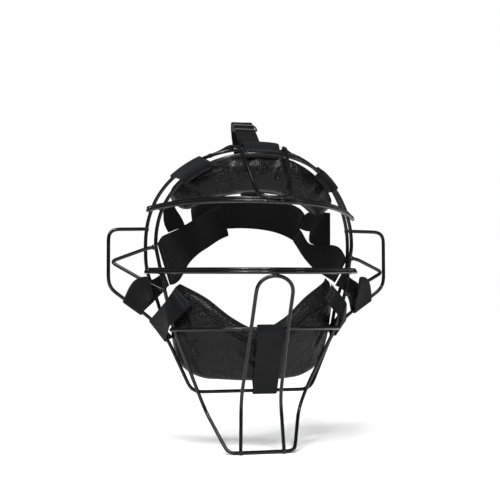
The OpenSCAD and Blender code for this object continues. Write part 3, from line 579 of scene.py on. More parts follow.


# Soft knitted lining with small columns of stitches, and painted shade that darkens the gaps between the
# stitch loops
SOOT = (0.012, 0.012, 0.013)
knit = Nodes("knitted_lining", SOOT, 0.9, Sheen_Weight=0.35, Sheen_Roughness=0.5, Specular_IOR_Level=0.2)
loops = knit.voronoi(820, "SMOOTH_F1", Smoothness=0.35, Randomness=0.35)
# Base colour: painted shade, darker between the stitch loops, with random tone
tone_and_painted_shade = knit.total((loops, 0.6), (knit.noise(60, 3.0, 0.6), 0.4))
height = knit.total((knit.voronoi(1500, "F1", Randomness=0.45), 0.6), (loops, 0.7))
knit.to(Base_Color=knit.ramp(tone_and_painted_shade, (0.15, times(SOOT, 1.5)), (0.75, times(SOOT, 0.6))),
        Normal=knit.bump(height, 0.8, 0.0005))

# Satin moulded plastic with a fine spark texture
satin = Nodes("satin_plastic", (0.02, 0.02, 0.021), 0.36, Specular_IOR_Level=0.5)
wear = satin.noise(120, 3.0, 0.6)
satin.to(Roughness=satin.grey(wear, 0.28, 0.5, 0.3, 0.7),
         Base_Color=satin.ramp(wear, (0.3, (0.016, 0.016, 0.017)), (0.7, (0.03, 0.03, 0.032))),
         Normal=satin.bump(satin.noise(2600, 2.0, 0.6), 0.25, 0.00015))

thread = Nodes("black_thread", SOOT, 0.6, Sheen_Weight=0.3, Specular_IOR_Level=0.35)
# The twist noise is both the thread's bumps and its colour: painted shade, darker where the twist is low
twist = thread.noise(4200, 2.0, 0.6)
thread.to(Base_Color=thread.ramp(twist, (0.3, times(SOOT, 0.7)), (0.7, times(SOOT, 1.4))),
          Normal=thread.bump(twist, 0.5, 0.0002))

STEEL, LINING, PLASTIC, THREAD = coat.mat, knit.mat, satin.mat, thread.mat
LEATHER = leather_material("pebbled_leather", (0.0035, 0.0035, 0.0037), 0.24)
PIPING = leather_material("piping_leather", (0.008, 0.008, 0.0085), 0.34, 1100)
TAB = webbing_material("tab_weave", (0.0055, 0.0057, 0.0064), 0.62, 0.00035, 0.04, 1.0, 900.0)
LOOP = webbing_material("loop_weave", (0.0035, 0.0035, 0.0037), 0.75, 0.0004, 0.05, 0.6, 850.0)
ELASTIC = webbing_material("ribbed_elastic", (0.0035, 0.0035, 0.0038), 0.85, 0.00045, 0.03, 0.35, 700.0)


# ---- Wires

WIRES = [
    ("rear_frame", rear_path, "rear_frame_wire"),
    ("front_frame", front_path, "front_frame_wire"),
    ("jaw_and_ear_guards", jaw_path, "jaw_and_ear_wire"),
    ("top_loop", smooth(both(top_loop_half), 12), "top_loop_wire"),
    ("brow_wire_front", bar(*brow_bar), "brow_bar_front"),
    ("brow_wire_rear", bar(*brow_bar, rear=True), "brow_bar_rear"),
    ("eye_wire_front", bar(*eye_bar), "eye_bar_front"),
    ("eye_wire_rear", bar(*eye_bar, rear=True), "eye_bar_rear"),
    ("chin_wire", chin_path, "chin_bar"),
    ("throat_loop", throat_loop_path, "throat_loop_wire"),
    ("ear_brace_wire_left", brace_path(0), "ear_brace_left"),
    ("ear_brace_wire_right", [mirrored(p) for p in brace_path(BRACE_DROP)], "ear_brace_right"),
]
WIRE_STEP, WIRE_SIDES = 1.6, 18
wire_lines = []
for name, path, node in WIRES:
    closed = name == "front_frame"
    line = soften(resample(path, WIRE_STEP, closed), 6, closed)
    wire_lines.append(line)
    tube = tube_mesh(line, WIRE_R, WIRE_SIDES, closed)
    add_piece(new_object(name, *tube, STEEL), "cage", "black_wire", node)

TOUCH = 1.25 * WIRE_D
LONG_TOUCH = 12


def weld_spots():
    """A point on each of two wires for every weld; a long touch has a weld near both its ends."""
    found = []
    for pa, pb in itertools.combinations(wire_lines, 2):
        d = np.linalg.norm(pa[:, None] - pb[None], axis=2)
        near = np.flatnonzero(d.min(1) < TOUCH)
        for run in np.split(near, np.flatnonzero(np.diff(near) > 1) + 1):
            if len(run) > LONG_TOUCH:
                spots = [run[2], run[-3]]
            else:
                spots = [run[d[run].min(1).argmin()]] if len(run) else []
            found += [(pa[s], pb[d[s].argmin()]) for s in spots]
    return found


BEAD_LONG, BEAD_WIDE = 1.5, 2.15


def weld_bead(a, b, seed, rows=9, cols=14):
    """A small lump of weld metal between two wires."""
    axis = unit(b - a) if np.linalg.norm(b - a) > 1e-3 else UP
    side = unit(np.cross(axis, V(0.3, 0.9, 0.2)))
    up = np.cross(axis, side)
    verts = []
    for th in (PI * i / rows for i in range(rows + 1)):
        size = BEAD_LONG * abs(math.cos(th)) + BEAD_WIDE * math.sin(th)
        for n in circle(axis * math.cos(th), math.sin(th), side, up, cols):
            wobble = 1 + 0.13 * noise.noise(Vector(n * 1.7 + seed * 3.1))
            verts.append((a + b) / 2 + n * size * wobble)
    return verts, skin(rows + 1, cols)


beads = joined("weld_beads", [weld_bead(a, b, k) for k, (a, b) in enumerate(weld_spots())], STEEL)
edited(beads.data, lambda bm: bmesh.ops.remove_doubles(bm, verts=bm.verts, dist=1e-6))
add_piece(beads, "cage", "black_wire")


# ---- Webbing

def grid_normals(g):
    return units(np.cross(np.gradient(g, axis=0), np.gradient(g, axis=1)))


def middle(g):
    return g[:, g.shape[1] // 2]


# Webbing is rounded at its edges: the outer rows lie EDGE_IN of its thickness in from the edge and are EDGE_T
# as thick. WAVE_L and WAVE_W are about how long and wide its waves are
EDGE_T, EDGE_IN = 0.84, 0.3
WAVE_L, WAVE_W = 14, 22


def strip(name, g, h, mat, wave, seed):
    """Webbing from a grid of points on its middle surface, [along][across], with rounded long edges."""
    g = np.array(g, float)
    n = grid_normals(g)
    rows, cols = g.shape[:2]
    length = lengths(middle(g))
    wide = np.array([lengths(r) for r in g])
    for i, j in np.ndindex(rows, cols):
        spot = Vector((length[i] / WAVE_L, wide[i, j] / WAVE_W, seed * 7.3))
        g[i, j] += n[i, j] * wave * noise.noise(spot)
    n = grid_normals(g)
    edge = np.zeros_like(g)
    edge[:, 0], edge[:, -1] = units(g[:, 0] - g[:, 1]), units(g[:, -1] - g[:, -2])
    half = np.full((cols, 1), h / 2)
    half[[0, -1]] *= EDGE_T
    top, low = (g + k * n * half - EDGE_IN * h * edge for k in (1, -1))
    verts = np.concatenate([g[:, :1], top, g[:, -1:], low[:, ::-1]], axis=1)
    across = np.concatenate([wide[:, :1], wide, wide[:, -1:], wide[:, ::-1]], axis=1)
    m = 2 * cols + 2
    uv = np.stack([np.repeat(length, m), across.ravel()], 1) * MM
    faces = skin(rows, m)
    for base, flip in ((0, 1), ((rows - 1) * m, -1)):
        a = [base] + [base + 1 + j for j in range(cols)] + [base + cols + 1]
        b = [base] + [base + m - 1 - j for j in range(cols)] + [base + cols + 1]
        quads = [(a[j], a[j + 1], b[j + 1], b[j]) for j in range(1, cols)]
        faces += [q[::flip] for q in [(base, a[1], b[1])] + quads + [(a[cols], a[-1], b[cols])]]
    return new_object(name, verts.reshape(-1, 3), faces, mat, uv)


def ribbon_grid(rows, cols=13):
    """Middle surface of webbing through rows; a row is a point, the direction of the width and the width."""
    r = np.array(rows, float)
    c, w = r[:, :3], r[:, 3:6]
    t = tangents(c)
    u = units(w - (w * t).sum(1)[:, None] * t)
    return c[:, None] + u[:, None] * (np.linspace(-0.5, 0.5, cols)[None, :, None] * r[:, 6, None, None])


def even_rows(g, step):
    """The same surface with its rows evenly spaced along its middle."""
    g = np.array(g, float)
    d = lengths(middle(g))
    at = np.linspace(0, d[-1], max(int(round(d[-1] / step)), 3) + 1)
    return line_at(at, d, g.reshape(len(g), -1)).reshape(len(at), *g.shape[1:])


def at_grid(g, a, f):
    """A grid read at shares of its length and width."""
    rows, cols = g.shape[:2]
    across = line_at(a * (rows - 1), np.arange(rows), g.reshape(rows, -1)).reshape(cols, -1)
    return line_at(f * (cols - 1), np.arange(cols), across)


# How far a stitch stands off the cloth at shares of its length
STITCH_RISE = ((0, -0.35), (0.18, 0.05), (0.5, 0.12), (0.82, 0.05), (1, -0.35))


def stitch_run(points, normals, dash=2.5, gap=0.9, r=0.27, sides=6):
    """Thread dashes along a line on a surface; each sinks into the cloth at its ends."""
    p, n = np.array(points), np.array(normals)
    d = lengths(p)
    parts, s = [], 0.3
    while s + dash < d[-1]:
        path = []
        for f, rise in STITCH_RISE:
            up = unit(line_at(s + dash * f, d, n))
            path.append(line_at(s + dash * f, d, p) + up * rise)
        t = unit(path[-1] - path[0])
        u = square_to(up, t)
        verts = [q for c in path for q in circle(c, r, u, np.cross(t, u), sides)]
        parts.append((verts, skin(len(path), sides, capped=True)))
        s += dash + gap
    return parts


def box_stitch(g, a0, a1, h, side, margin=0.09, steps=24):
    """A sewn box on a strip between two shares of its length."""
    n = grid_normals(g) * side
    corners = [(a0, margin), (a0, 1 - margin), (a1, 1 - margin), (a1, margin), (a0, margin)]
    parts = []
    for (a, f), (b, e) in zip(corners, corners[1:]):
        spots = [(mix(a, b, i / steps), mix(f, e, i / steps)) for i in range(steps + 1)]
        up = [unit(at_grid(n, *spot)) for spot in spots]
        parts += stitch_run([at_grid(g, *spot) + m * h / 2 for spot, m in zip(spots, up)], up)
    return parts


# ---- Cushions

BROW_FROM, BROW_TO = 35, 150
BROW_STEPS = 24
BROW_SIDE_W = 23
BROW_INSET, BROW_CROWN_INSET = 4, 7
BROW_END_T, CHIN_END_T = 11, 8
BROW_CREASE, CREASE_SPREAD, CREASE_DEPTH = 0.62, 0.03, 0.14
END_SHARE = 0.6


def end_round(f, n):
    """Takes a cushion's width or thickness down to END_SHARE of it over its ends."""
    return mix(END_SHARE, 1, math.sqrt(max(1 - abs(2 * f - 1) ** n, 0.02)))


def brow_angle(f):
    return mix(BROW_FROM, BROW_TO, f)


def brow_mid(f):
    return arch(brow_angle(f), REAR_HALF_W - BROW_INSET - BROW_SIDE_W / 2,
                REAR_CROWN_Z - BROW_CROWN_INSET - BROW_PAD_W / 2, 0, REAR_CROWN_Y)


def brow_edges(n):
    """The forehead cushion's two long edges on its rear plane, and its thickness."""
    rows = []
    for f in (i / n for i in range(n + 1)):
        c = brow_mid(f)
        t = unit(brow_mid(min(f + 1 / BROW_STEPS, 1)) - brow_mid(max(f - 1 / BROW_STEPS, 0)))
        r = V(c[0], 0, c[2] - TEMPLE_Z)
        out = unit(r - (r @ t) * t + V(0, 4, 0))
        s = math.sin(math.radians(brow_angle(f)))
        w = mix(BROW_SIDE_W, BROW_PAD_W, s * s) * end_round(f, 10)
        g = (f - BROW_CREASE) / CREASE_SPREAD
        thick = mix(BROW_END_T, BROW_PAD_T, s) * end_round(f, 10) * (1 - CREASE_DEPTH * math.exp(-g * g))
        rows.append((c - out * w / 2, c + out * w / 2, thick))
    return [np.array(part) for part in zip(*rows)]


def jaw_inside(rise, gap, y):
    z = -THROAT_Z + rise
    return V(fall_at([jaw_point, jaw_corner], z)[0] + gap, y, z)


CHIN_TOP_HALF = [
    V(-CHIN_HALF_W + 9, 2, -12),
    V(-CHIN_HALF_W + 13, -14, -15),
    V(-CHIN_HALF_W + 32, -32, -26.5),
    V(-26, -44, -CHIN_Z + 10),
    V(0, -47, -CHIN_Z - 1),
]
CHIN_LOW_HALF = [
    V(-CHIN_HALF_W + 9, 4, -CHIN_Z - 5),
    jaw_inside(27, 4.7, -2),
    jaw_inside(15, 16.8, -11),
    V(-27, -14, -THROAT_Z + 13),
    V(0, -15, -THROAT_Z + 13),
]
# How much further the tab draws the cushion's right end out and up
CHIN_DRAW = [(10, 0, 7), (6, -1, 3.5), (1, 0, 0.5), (0, 0, 0), (0, 0, 0)]
CHIN_STEPS = 3


def chin_edges(n):
    """The chin cushion's two long edges and its thickness."""
    def whole(half, k):
        right = [mirrored(p) + k * np.array(d) for p, d in zip(half, CHIN_DRAW)]
        return np.array(smooth(half + right[-2::-1], n))
    high, low = whole(CHIN_TOP_HALF, 1), whole(CHIN_LOW_HALF, 0)
    thick = np.array([mix(CHIN_END_T, CHIN_PAD_T, math.sin(PI * x) ** 0.6 if 0 < x < 1 else 0)
                      * end_round(x, 12) for x in np.linspace(0, 1, len(low))])
    return low, high, thick


AROUND, BEHIND = 30, 12
RING = AROUND + BEHIND
END_MM = 9.0
END_WIDTH, END_LEAST = 0.55, 0.22
REAR_DIP = 0.4


def cushion_axes(low, high):
    """At each station of a cushion: its middle, its width, the way across it and the way out of its face."""
    c = (low + high) / 2
    u = units(high - low)
    return c, np.linalg.norm(high - low, axis=1), u, units(np.cross(tangents(c), u))


def cushion_rings(low, high, thick, shrink):
    """Rings of a cushion: AROUND steps over the front from the high edge to the low one, then
    BEHIND steps back across the rear."""
    c, w, u, v = cushion_axes(low, high)
    d = lengths(c)
    end = np.minimum(np.minimum(d, d[-1] - d) / END_MM, 1)
    k = np.maximum(np.sqrt(1 - (1 - end) ** 2), END_LEAST)
    a = PI * np.arange(AROUND + 1) / AROUND
    f = np.arange(1, BEHIND) / BEHIND
    across = np.outer(w * mix(END_WIDTH, 1, k), np.concatenate([np.cos(a) / 2, f - 0.5]))
    out = np.outer(thick * shrink * k, np.concatenate([np.sin(a) ** 0.7, 0 * f]))
    out[:, AROUND + 1:] = REAR_DIP * np.sin(PI * f)
    return c[:, None] + u[:, None] * across[..., None] + v[:, None] * out[..., None]


def cushion_mesh(name, rings):
    n = len(rings)
    verts = list(rings.reshape(-1, 3))
    faces = skin(n, RING)
    for base, flip in ((0, 1), ((n - 1) * RING, -1)):
        hub = len(verts)
        verts.append(sum(verts[base:base + AROUND + 1]) / (AROUND + 1))
        faces += [(base + k, base + (k + 1) % RING, hub)[::flip] for k in range(RING)]
    return new_object(name, verts, faces, None)


def points_of(obj, key="co"):
    return np.array([getattr(v, key) for v in obj.data.vertices], float)


def set_points(obj, co):
    obj.data.vertices.foreach_set("co", co.ravel())
    obj.data.update()


INFLATE_FRAMES = 20


def inflate(obj, hold, cap_mm, pressure):
    """Puffs a closed cushion with a short cloth simulation; a point moves cap_mm at the most. hold says
    how firmly each point stays where it is."""
    scene = bpy.context.scene
    start = points_of(obj)
    group = obj.vertex_groups.new(name="seam")
    for k in np.flatnonzero(hold):
        group.add([int(k)], hold[k], "REPLACE")
    cloth = obj.modifiers.new("cloth", "CLOTH")
    s = cloth.settings
    s.quality = 6
    s.mass = 0.2
    s.tension_stiffness = s.compression_stiffness = 12
    s.shear_stiffness = 6
    s.bending_stiffness = 0.8
    s.vertex_group_mass = "seam"
    s.use_pressure = True
    s.uniform_pressure_force = pressure
    s.effector_weights.gravity = 0
    cloth.collision_settings.use_collision = False
    cloth.point_cache.frame_start, cloth.point_cache.frame_end = 1, INFLATE_FRAMES
    for f in range(1, INFLATE_FRAMES + 1):
        scene.frame_set(f)
    deps = bpy.context.evaluated_depsgraph_get()
    move = points_of(obj.evaluated_get(deps)) - start
    obj.modifiers.remove(cloth)
    scene.frame_set(1)
    size = np.linalg.norm(move, axis=1)
    cap = cap_mm * MM
    keep = np.where(size > 1e-9, cap * np.tanh(size / cap) / np.maximum(size, 1e-9), 1.0)
    set_points(obj, start + move * keep[:, None])
    obj.vertex_groups.clear()


def divide(obj, levels):
    mod = obj.modifiers.new("fine", "SUBSURF")
    mod.levels = mod.render_levels = levels
    bpy.context.view_layer.objects.active = obj
    for o in bpy.context.selected_objects:
        o.select_set(False)
    obj.select_set(True)
    bpy.ops.object.modifier_apply(modifier=mod.name)


def split_off(obj, name, rear, n, mat):
    """Copies the cushion's front or rear faces into a piece of their own."""
    def is_rear(face):
        ids = [v.index for v in face.verts]
        return max(ids) < n * RING and any(k % RING > AROUND for k in ids)

    mesh = bpy.data.meshes.new(name)
    edited(obj.data, lambda bm: bmesh.ops.delete(
        bm, geom=[f for f in bm.faces if is_rear(f) != rear], context="FACES"), mesh)
    mesh.materials.append(mat)
    for p in mesh.polygons:
        p.use_smooth = True
    return place(name, mesh)


PIPING_STEP, PIPING_SIDES, PIPING_END = 1.5, 10, 0.3


def piping(name, path, r, closed=True):
    line = soften(resample(path, PIPING_STEP, closed), 3, closed)
    tube = tube_mesh(line, r, PIPING_SIDES, closed, PIPING_END)
    add_piece(new_object(name, *tube, PIPING), "cage", "leather")


def to_segment(co, a, b):
    """For each point, how far along a segment its nearest place is, from 0 to 1, and how far off."""
    t = np.clip(((co - a) @ (b - a)) / ((b - a) @ (b - a)), 0, 1)
    return t, np.linalg.norm(co - (a + t[:, None] * (b - a)), axis=1)


def sink(obj, depth_of, *how):
    """Moves a mesh inwards by what depth_of gives for its points, all in millimetres."""
    co = points_of(obj) / MM
    set_points(obj, (co - points_of(obj, "normal") * depth_of(co, *how)[:, None]) * MM)


def creased(co, segments):
    """Creases with a low fold beside each. A segment is (from, to, depth, width)."""
    out = np.zeros(len(co))
    for a, b, depth, width in segments:
        t, d = to_segment(co, a, b)
        fade = np.sin(PI * np.clip(t * 0.86 + 0.1, 0, 1)) ** 0.5
        out += depth * fade * np.exp(-(d / width) ** 2)
        out -= 0.45 * depth * fade * np.exp(-((d - 2.1 * width) / (0.9 * width)) ** 2)
    return out


def uneven(co, amount, scale, seed):
    """Slow uneven swelling of stuffed leather."""
    return np.array([-amount * (noise.noise(Vector(p / scale + seed))
                                + 0.4 * noise.noise(Vector(p / scale * 2.7 + seed * 2))) for p in co])


def sewn(co, line, depth, width):
    """The dip of leather along a sewn seam."""
    off = np.min([to_segment(co, a, b)[1] for a, b in zip(line, line[1:])], axis=0)
    return depth * np.exp(-(off / width) ** 2)


# A crease runs between two places of the cushion, each a ring and a column, with its depth and width
BROW_CREASES = [
    ((25, 3), (36, 5), 3.6, 1.9), ((24, 7), (31, 9), 2.4, 1.6), ((31, 5), (33, 24), 3.6, 4.4),
    ((54, 2), (52, 17), 4.2, 1.8), ((57, 3), (59, 13), 2.6, 1.6), ((57, 6), (62, 24), 3.8, 4.8),
    ((42, 4), (42, 22), 2.2, 5.0), ((12, 8), (17, 22), 2.0, 4.0), ((76, 8), (73, 22), 2.0, 4.0)]
CHIN_CREASES = [
    ((14, 8), (22, 15), 1.8, 2.4), ((17, 14), (24, 19), 1.2, 2.2), ((41, 12), (48, 16), 1.6, 2.4),
    ((56, 13), (50, 18), 1.6, 2.4), ((82, 13), (75, 17), 1.8, 2.4)]
# How firmly the rear of a cushion keeps its place, how it swells and how deep and wide its seam is sunk
REAR_HOLD, REAR_SWELL = 0.55, 0.35
SEAM_DEPTH, SEAM_WIDTH = 0.9, 1.5
RIM_R, SEAM_R = 1.15, 0.8


def cushion(stem, edges, shrink, cap_mm, pressure, creases, swell, seam=None):
    """A stuffed cushion of a leather front and a lining. seam gives the columns of its two ends. Gives
    back the cushion's rim and the line of its seam."""
    rings = cushion_rings(*edges, shrink)
    n = len(rings)
    form = cushion_mesh(stem + "_form", rings)
    hold = np.zeros((n, RING))
    hold[:, [0, AROUND]] = 1
    hold[:, AROUND + 1:] = REAR_HOLD
    columns = [round(mix(*seam, i / (n - 1))) for i in range(n)] if seam else []
    for i, k in enumerate(columns):
        hold[i, k] = 1
    inflate(form, hold.ravel(), cap_mm, pressure)
    now = points_of(form)[:n * RING].reshape(n, RING, 3) / MM
    front = split_off(form, stem + "_cushion", False, n, LEATHER)
    rear = split_off(form, stem + "_rear_lining", True, n, LINING)
    bpy.data.objects.remove(form)
    divide(front, 2)
    divide(rear, 1)
    sink(front, uneven, swell, 26, 3.7)
    sink(rear, uneven, REAR_SWELL, 30, 8.1)
    sink(front, creased, [(now[a], now[b], depth, width) for a, b, depth, width in creases])
    seam_line = [now[i, k] for i, k in enumerate(columns)]
    if seam:
        sink(front, sewn, seam_line, SEAM_DEPTH, SEAM_WIDTH)
    add_piece(front, "cage", "leather", stem + "_cover", stem + "_foam")
    add_piece(rear, "cage", "lining", stem + "_lining")
    return list(now[:, 0]) + list(now[::-1, AROUND]), seam_line


BROW_RINGS, CHIN_RINGS = 96, 12
brow_rim, _ = cushion("forehead", brow_edges(BROW_RINGS), 0.9, 2.6, 5.0, BROW_CREASES, 0.8)
chin_rim, chin_seam = cushion("chin", chin_edges(CHIN_RINGS), 0.92, 2.8, 4.0, CHIN_CREASES, 0.6, (5.5, 9.5))
piping("forehead_piping", brow_rim, RIM_R)
piping("chin_piping", chin_rim, RIM_R)
piping("chin_seam_piping", chin_seam, SEAM_R, closed=False)


# ---- Tabs

TAB_R = WIRE_R + WRAP_GAP + TAB_T / 2
SEWN_LIFT = 0.6 + TAB_T
ACROSS = np.linspace(-1, 1, 15)
brow_plan = brow_edges(BROW_STEPS)
chin_plan = chin_edges(CHIN_STEPS)


def face_at(plan, x, deg):
    """A place just off a cushion's face: x counts stations from the left, deg turns from the high edge."""
    low, high, thick = plan
    c, w, u, v = cushion_axes(low, high)
    a = math.radians(deg)
    out = thick * math.sin(a) ** 0.7 + SEWN_LIFT * math.sin(a)
    face = c + u * (w / 2 + SEWN_LIFT)[:, None] * math.cos(a) + v * out[:, None]
    return line_at(x, np.arange(len(c)), face)


def tab_axes(s):
    """A station is its rear wire, its front wire, its seat on the cushion and its way out."""
    a = unit(s[1] - s[0])
    return a, square_to(s[3], a)


def turn(c, r, a0, a1, n):
    return [(c[0] + r * math.cos(math.radians(a)), c[1] + r * math.sin(math.radians(a)))
            for a in np.linspace(a0, a1, n + 1)]


def steps(a, b, n):
    """n points from a towards b, without b."""
    return [tuple(mix(np.array(a), np.array(b), f)) for f in np.linspace(0, 1, n + 1)[:-1]]


def tab_line(s, qa, pa, slack):
    """Middle line of a tab: from the cushion round the front wire and then the rear wire."""
    a, o = tab_axes(s)
    d = s[2] - s[0]
    arc_q = turn((np.linalg.norm(s[1] - s[0]), 0), TAB_R + slack, qa, 90, 10)
    arc_p = turn((0, 0), TAB_R, 90, pa, 12)
    line = steps((d @ a, d @ o), arc_q[0], 6) + arc_q + steps(arc_q[-1], arc_p[0], 13)[1:] + arc_p
    return [s[0] + a * x + o * y for x, y in line]


def flap_line(s, pa, start, length, n=14):
    a, o = tab_axes(s)
    c, k = math.cos(math.radians(pa)), math.sin(math.radians(pa))
    away, ahead = a * c + o * k, -a * k + o * c
    return [s[0] + away * TAB_R + ahead * (start + length * i / n) for i in range(n + 1)]


def grid_of(lines):
    """[along][across] from a line for each place across the width."""
    return np.array(lines).transpose(1, 0, 2)


def tab_grid(stations, qa, pa, slack=0.0):
    return grid_of([tab_line(s, qa, pa, slack) for s in stations])


FLAP_GAP, FLAP_START = 3.2, 0.4


def flap_grid(stations, pa, length):
    return grid_of([flap_line(s, pa, FLAP_START, FLAP_GAP + length - FLAP_START) for s in stations])


def mirror_grid(g):
    return g[:, ::-1] * (-1, 1, 1)


FLAP_TRIM, BROW_FLAP_TRIM = 2, 11
BROW_QA, BROW_PA = -70, 182
BROW_SEWN, BROW_LEAN = 50, 2.3


def brow_station(a):
    p, q = arch(a, *REAR), arch(a, *FRONT)
    x = (a - BROW_FROM) / (BROW_TO - BROW_FROM) * BROW_STEPS + BROW_LEAN * math.cos(math.radians(a))
    return p, q, face_at(brow_plan, x, BROW_SEWN), unit(V(p[0], 0, p[2] - TEMPLE_Z))


def brow_stations(a, w):
    half = math.degrees(w / 2 / (REAR_HALF_W - 6))
    return [brow_station(a + half * f) for f in ACROSS]


def brow_flap_stations(a, w):
    p, q, seat, out = brow_station(a)
    run = unit(brow_station(a + 2)[0] - brow_station(a - 2)[0])
    return [(p + w / 2 * f * run, q + w / 2 * f * run, seat + w / 2 * f * run, out) for f in ACROSS]


CROWN_SLACK = 3.4
CROWN_TAB_X = 3
CROWN_R = TAB_R + CROWN_SLACK
CROWN_REAR_L = 20
CROWN_START = (12.5, -BROW_CROWN_INSET - 2.7)


def crown_line(x):
    """The top tab goes over the rear wire alone and hangs down behind it."""
    p = rear_x(CROWN_TAB_X + x)
    arc = turn((0, 0), CROWN_R, 0, 180, 22)
    tail = [(-CROWN_R, -CROWN_REAR_L * f) for f in np.linspace(0, 1, 12)[1:]]
    return [p + V(0, -x2, z2) for x2, z2 in steps(CROWN_START, arc[0], 6) + arc + tail]


CHIN_QA, CHIN_PA = 50, 146
CHIN_SLACK = 2.6


def chin_station(f, right_side):
    """Written for the left; the right one's seat is mirrored over to it."""
    p = mix(jaw_knee, jaw_point, f)
    q = front_z(-mix(28, 51, f))
    x, a = mix(2.3, 5, f), mix(26, 41, f)
    seat = face_at(chin_plan, len(chin_plan[0]) - 1 - x if right_side else x, a)
    seat = mirrored(seat) if right_side else seat
    return p, q, seat, p - seat


def chin_stations(at, w, right_side):
    half = w / 2 / np.linalg.norm(jaw_point - jaw_knee)
    return [chin_station(at + half * f, right_side) for f in ACROSS]


THROAT_TAB_X, THROAT_TAB_TOP_X = 13, 2
THROAT_QA, THROAT_PA = -20, 222
THROAT_SEWN, THROAT_SLACK = 40, 0.8
CHIN_PITCH = -CHIN_TOP_HALF[3][0] / CHIN_STEPS


def throat_stations(w):
    out = []
    for x in w / 2 * ACROSS:
        top = THROAT_TAB_TOP_X + x * 1.05
        seat = face_at(chin_plan, (len(chin_plan[0]) - 1) / 2 + top / CHIN_PITCH, THROAT_SEWN)
        out.append((V(THROAT_TAB_X + x, -REAR_LOW_Y, -THROAT_Z), chin_bar_at(top), seat, V(0, -1, -1)))
    return out


tabs = {
    "forehead_tab_top": grid_of([crown_line(CROWN_TAB_W / 2 * f) for f in ACROSS]),
    "chin_tab_middle": tab_grid(throat_stations(THROAT_TAB_W), THROAT_QA, THROAT_PA, THROAT_SLACK),
}
flaps = {"chin_flap_middle": flap_grid(throat_stations(THROAT_TAB_W - FLAP_TRIM), THROAT_PA, FLAP_L)}
for side, angle, w in (("left", 52.5, BROW_TAB_LEFT_W), ("right", 134, BROW_TAB_RIGHT_W)):
    tabs["forehead_tab_" + side] = tab_grid(brow_stations(angle, w), BROW_QA, BROW_PA)
    flaps["forehead_flap_" + side] = flap_grid(
        brow_flap_stations(angle, w - BROW_FLAP_TRIM), BROW_PA, FLAP_L)
for side, at, w in (("left", 0.47, CHIN_TAB_LEFT_W), ("right", 0.38, CHIN_TAB_RIGHT_W)):
    right_side = side == "right"
    tab = tab_grid(chin_stations(at, w, right_side), CHIN_QA, CHIN_PA, CHIN_SLACK)
    flap = flap_grid(chin_stations(at, w - FLAP_TRIM, right_side), CHIN_PA, CHIN_FLAP_L)
    tabs["chin_tab_" + side] = mirror_grid(tab) if right_side else tab
    flaps["chin_flap_" + side] = mirror_grid(flap) if right_side else flap

# Where a tab's box of stitches begins and ends along it
STITCH_FROM, STITCH_TO = 2, 8
TAB_STEP = 1.2
for k, (name, g) in enumerate(sorted(tabs.items())):
    g = even_rows(g, TAB_STEP)
    add_piece(strip(name + "_webbing", g, TAB_T, TAB, 0.18, 1 + k), "cage", "tab_webbing", name)
    length = lengths(middle(g))[-1]
    outward = 1 if middle(grid_normals(g))[2][1] < 0 else -1
    box = box_stitch(g, STITCH_FROM / length, STITCH_TO / length, TAB_T, outward)
    add_piece(joined(name + "_stitches", box, THREAD), "cage", "tab_webbing")
for k, (name, g) in enumerate(sorted(flaps.items())):
    g = even_rows(g, TAB_STEP)
    add_piece(strip(name + "_strip", g, TAB_T, TAB, 0.1, 20 + k), name, "hook_and_loop", name,
              blend=("cage", name, tuple(middle(g)[0] * MM), tuple(middle(g)[3] * MM)))


# ---- Harness. A row of webbing is a point, the direction of its width and its width

BAND_HALF, BAND_DROP, BAND_TURN = 58, 18, math.radians(82)
BAND_END_Y = BAND_Y - 26
STEPS = 9


def row(p, wide, w):
    return np.concatenate([np.asarray(p, float), np.asarray(wide, float), [w]])


def strap(*rows):
    """Rows of webbing through a few given ones."""
    return smooth([row(*r) if len(r) == 3 else r for r in rows], STEPS)


def back_point(f):
    a = BAND_TURN
    return V(BAND_X + BAND_HALF * math.sin(a * f) / math.sin(a),
             mix(BAND_END_Y, BAND_Y, (math.cos(a * f) - math.cos(a)) / (1 - math.cos(a))),
             BAND_Z - BAND_DROP * f * f)


band_end = back_point(1)
band_run = unit(band_end - back_point(5 / 6))
band_up = square_to(UP, band_run)
BAND_ARM = BAND_W / 2 - LAYER_GAP
ARM_GAP, ARM_RUN = 1, 3.4
BAND_LAY = BAND_T + LAYER_GAP + 1.1
LEAN = V(0.25, 0, 0.95)
FALL_LEFT, LEAN_LEFT = V(-0.35, -0.33, 0.9), V(-0.25, 0, 0.95)


def arm_row(run, share):
    """A row of a strap that carries on from the back band's right end; share is its place across it."""
    return row(band_end + band_run * run + band_up * BAND_W * share, band_up, BAND_ARM)


band_rows = [row(back_point(f), UP, BAND_W) for f in np.linspace(-1, 1, 81)]
side_left = strap(
    ((-12, BAND_Y - 3.6 - BAND_LAY, BAND_Z - 9.5), FALL_LEFT, SIDE_W),
    ((-23.5, BAND_Y - 8 - BAND_LAY, BAND_Z - 14.5), FALL_LEFT, SIDE_W),
    ((-36.5, BAND_Y - 18 - BAND_LAY, BAND_Z - 22), FALL_LEFT, SIDE_W),
    ((-49.5, 33.5, 36.5), FALL_LEFT, SIDE_W),
    ((-65, 18, 26), FALL_LEFT, SIDE_W + 4),
    ((-REAR_HALF_W + 25, -3, 13.5), LEAN_LEFT, SIDE_W + 13),
    ((-FRONT_HALF_W + 10, -FRAME_GAP + 10, 8), LEAN_LEFT, SIDE_W + 8))
side_right = [arm_row(ARM_GAP, -0.25)] + strap(
    arm_row(ARM_RUN, -0.25),
    ((REAR_HALF_W - 36, 31.5, 24), UP + LEAN, WAIST_W),
    ((REAR_HALF_W - 27, 17, 16.5), LEAN, SIDE_W - 9),
    ((REAR_HALF_W - 18, -3, 11), LEAN, SIDE_W - 2),
    ((FRONT_HALF_W - 9, -FRAME_GAP + 9, 1.5), LEAN, SIDE_W - 8))
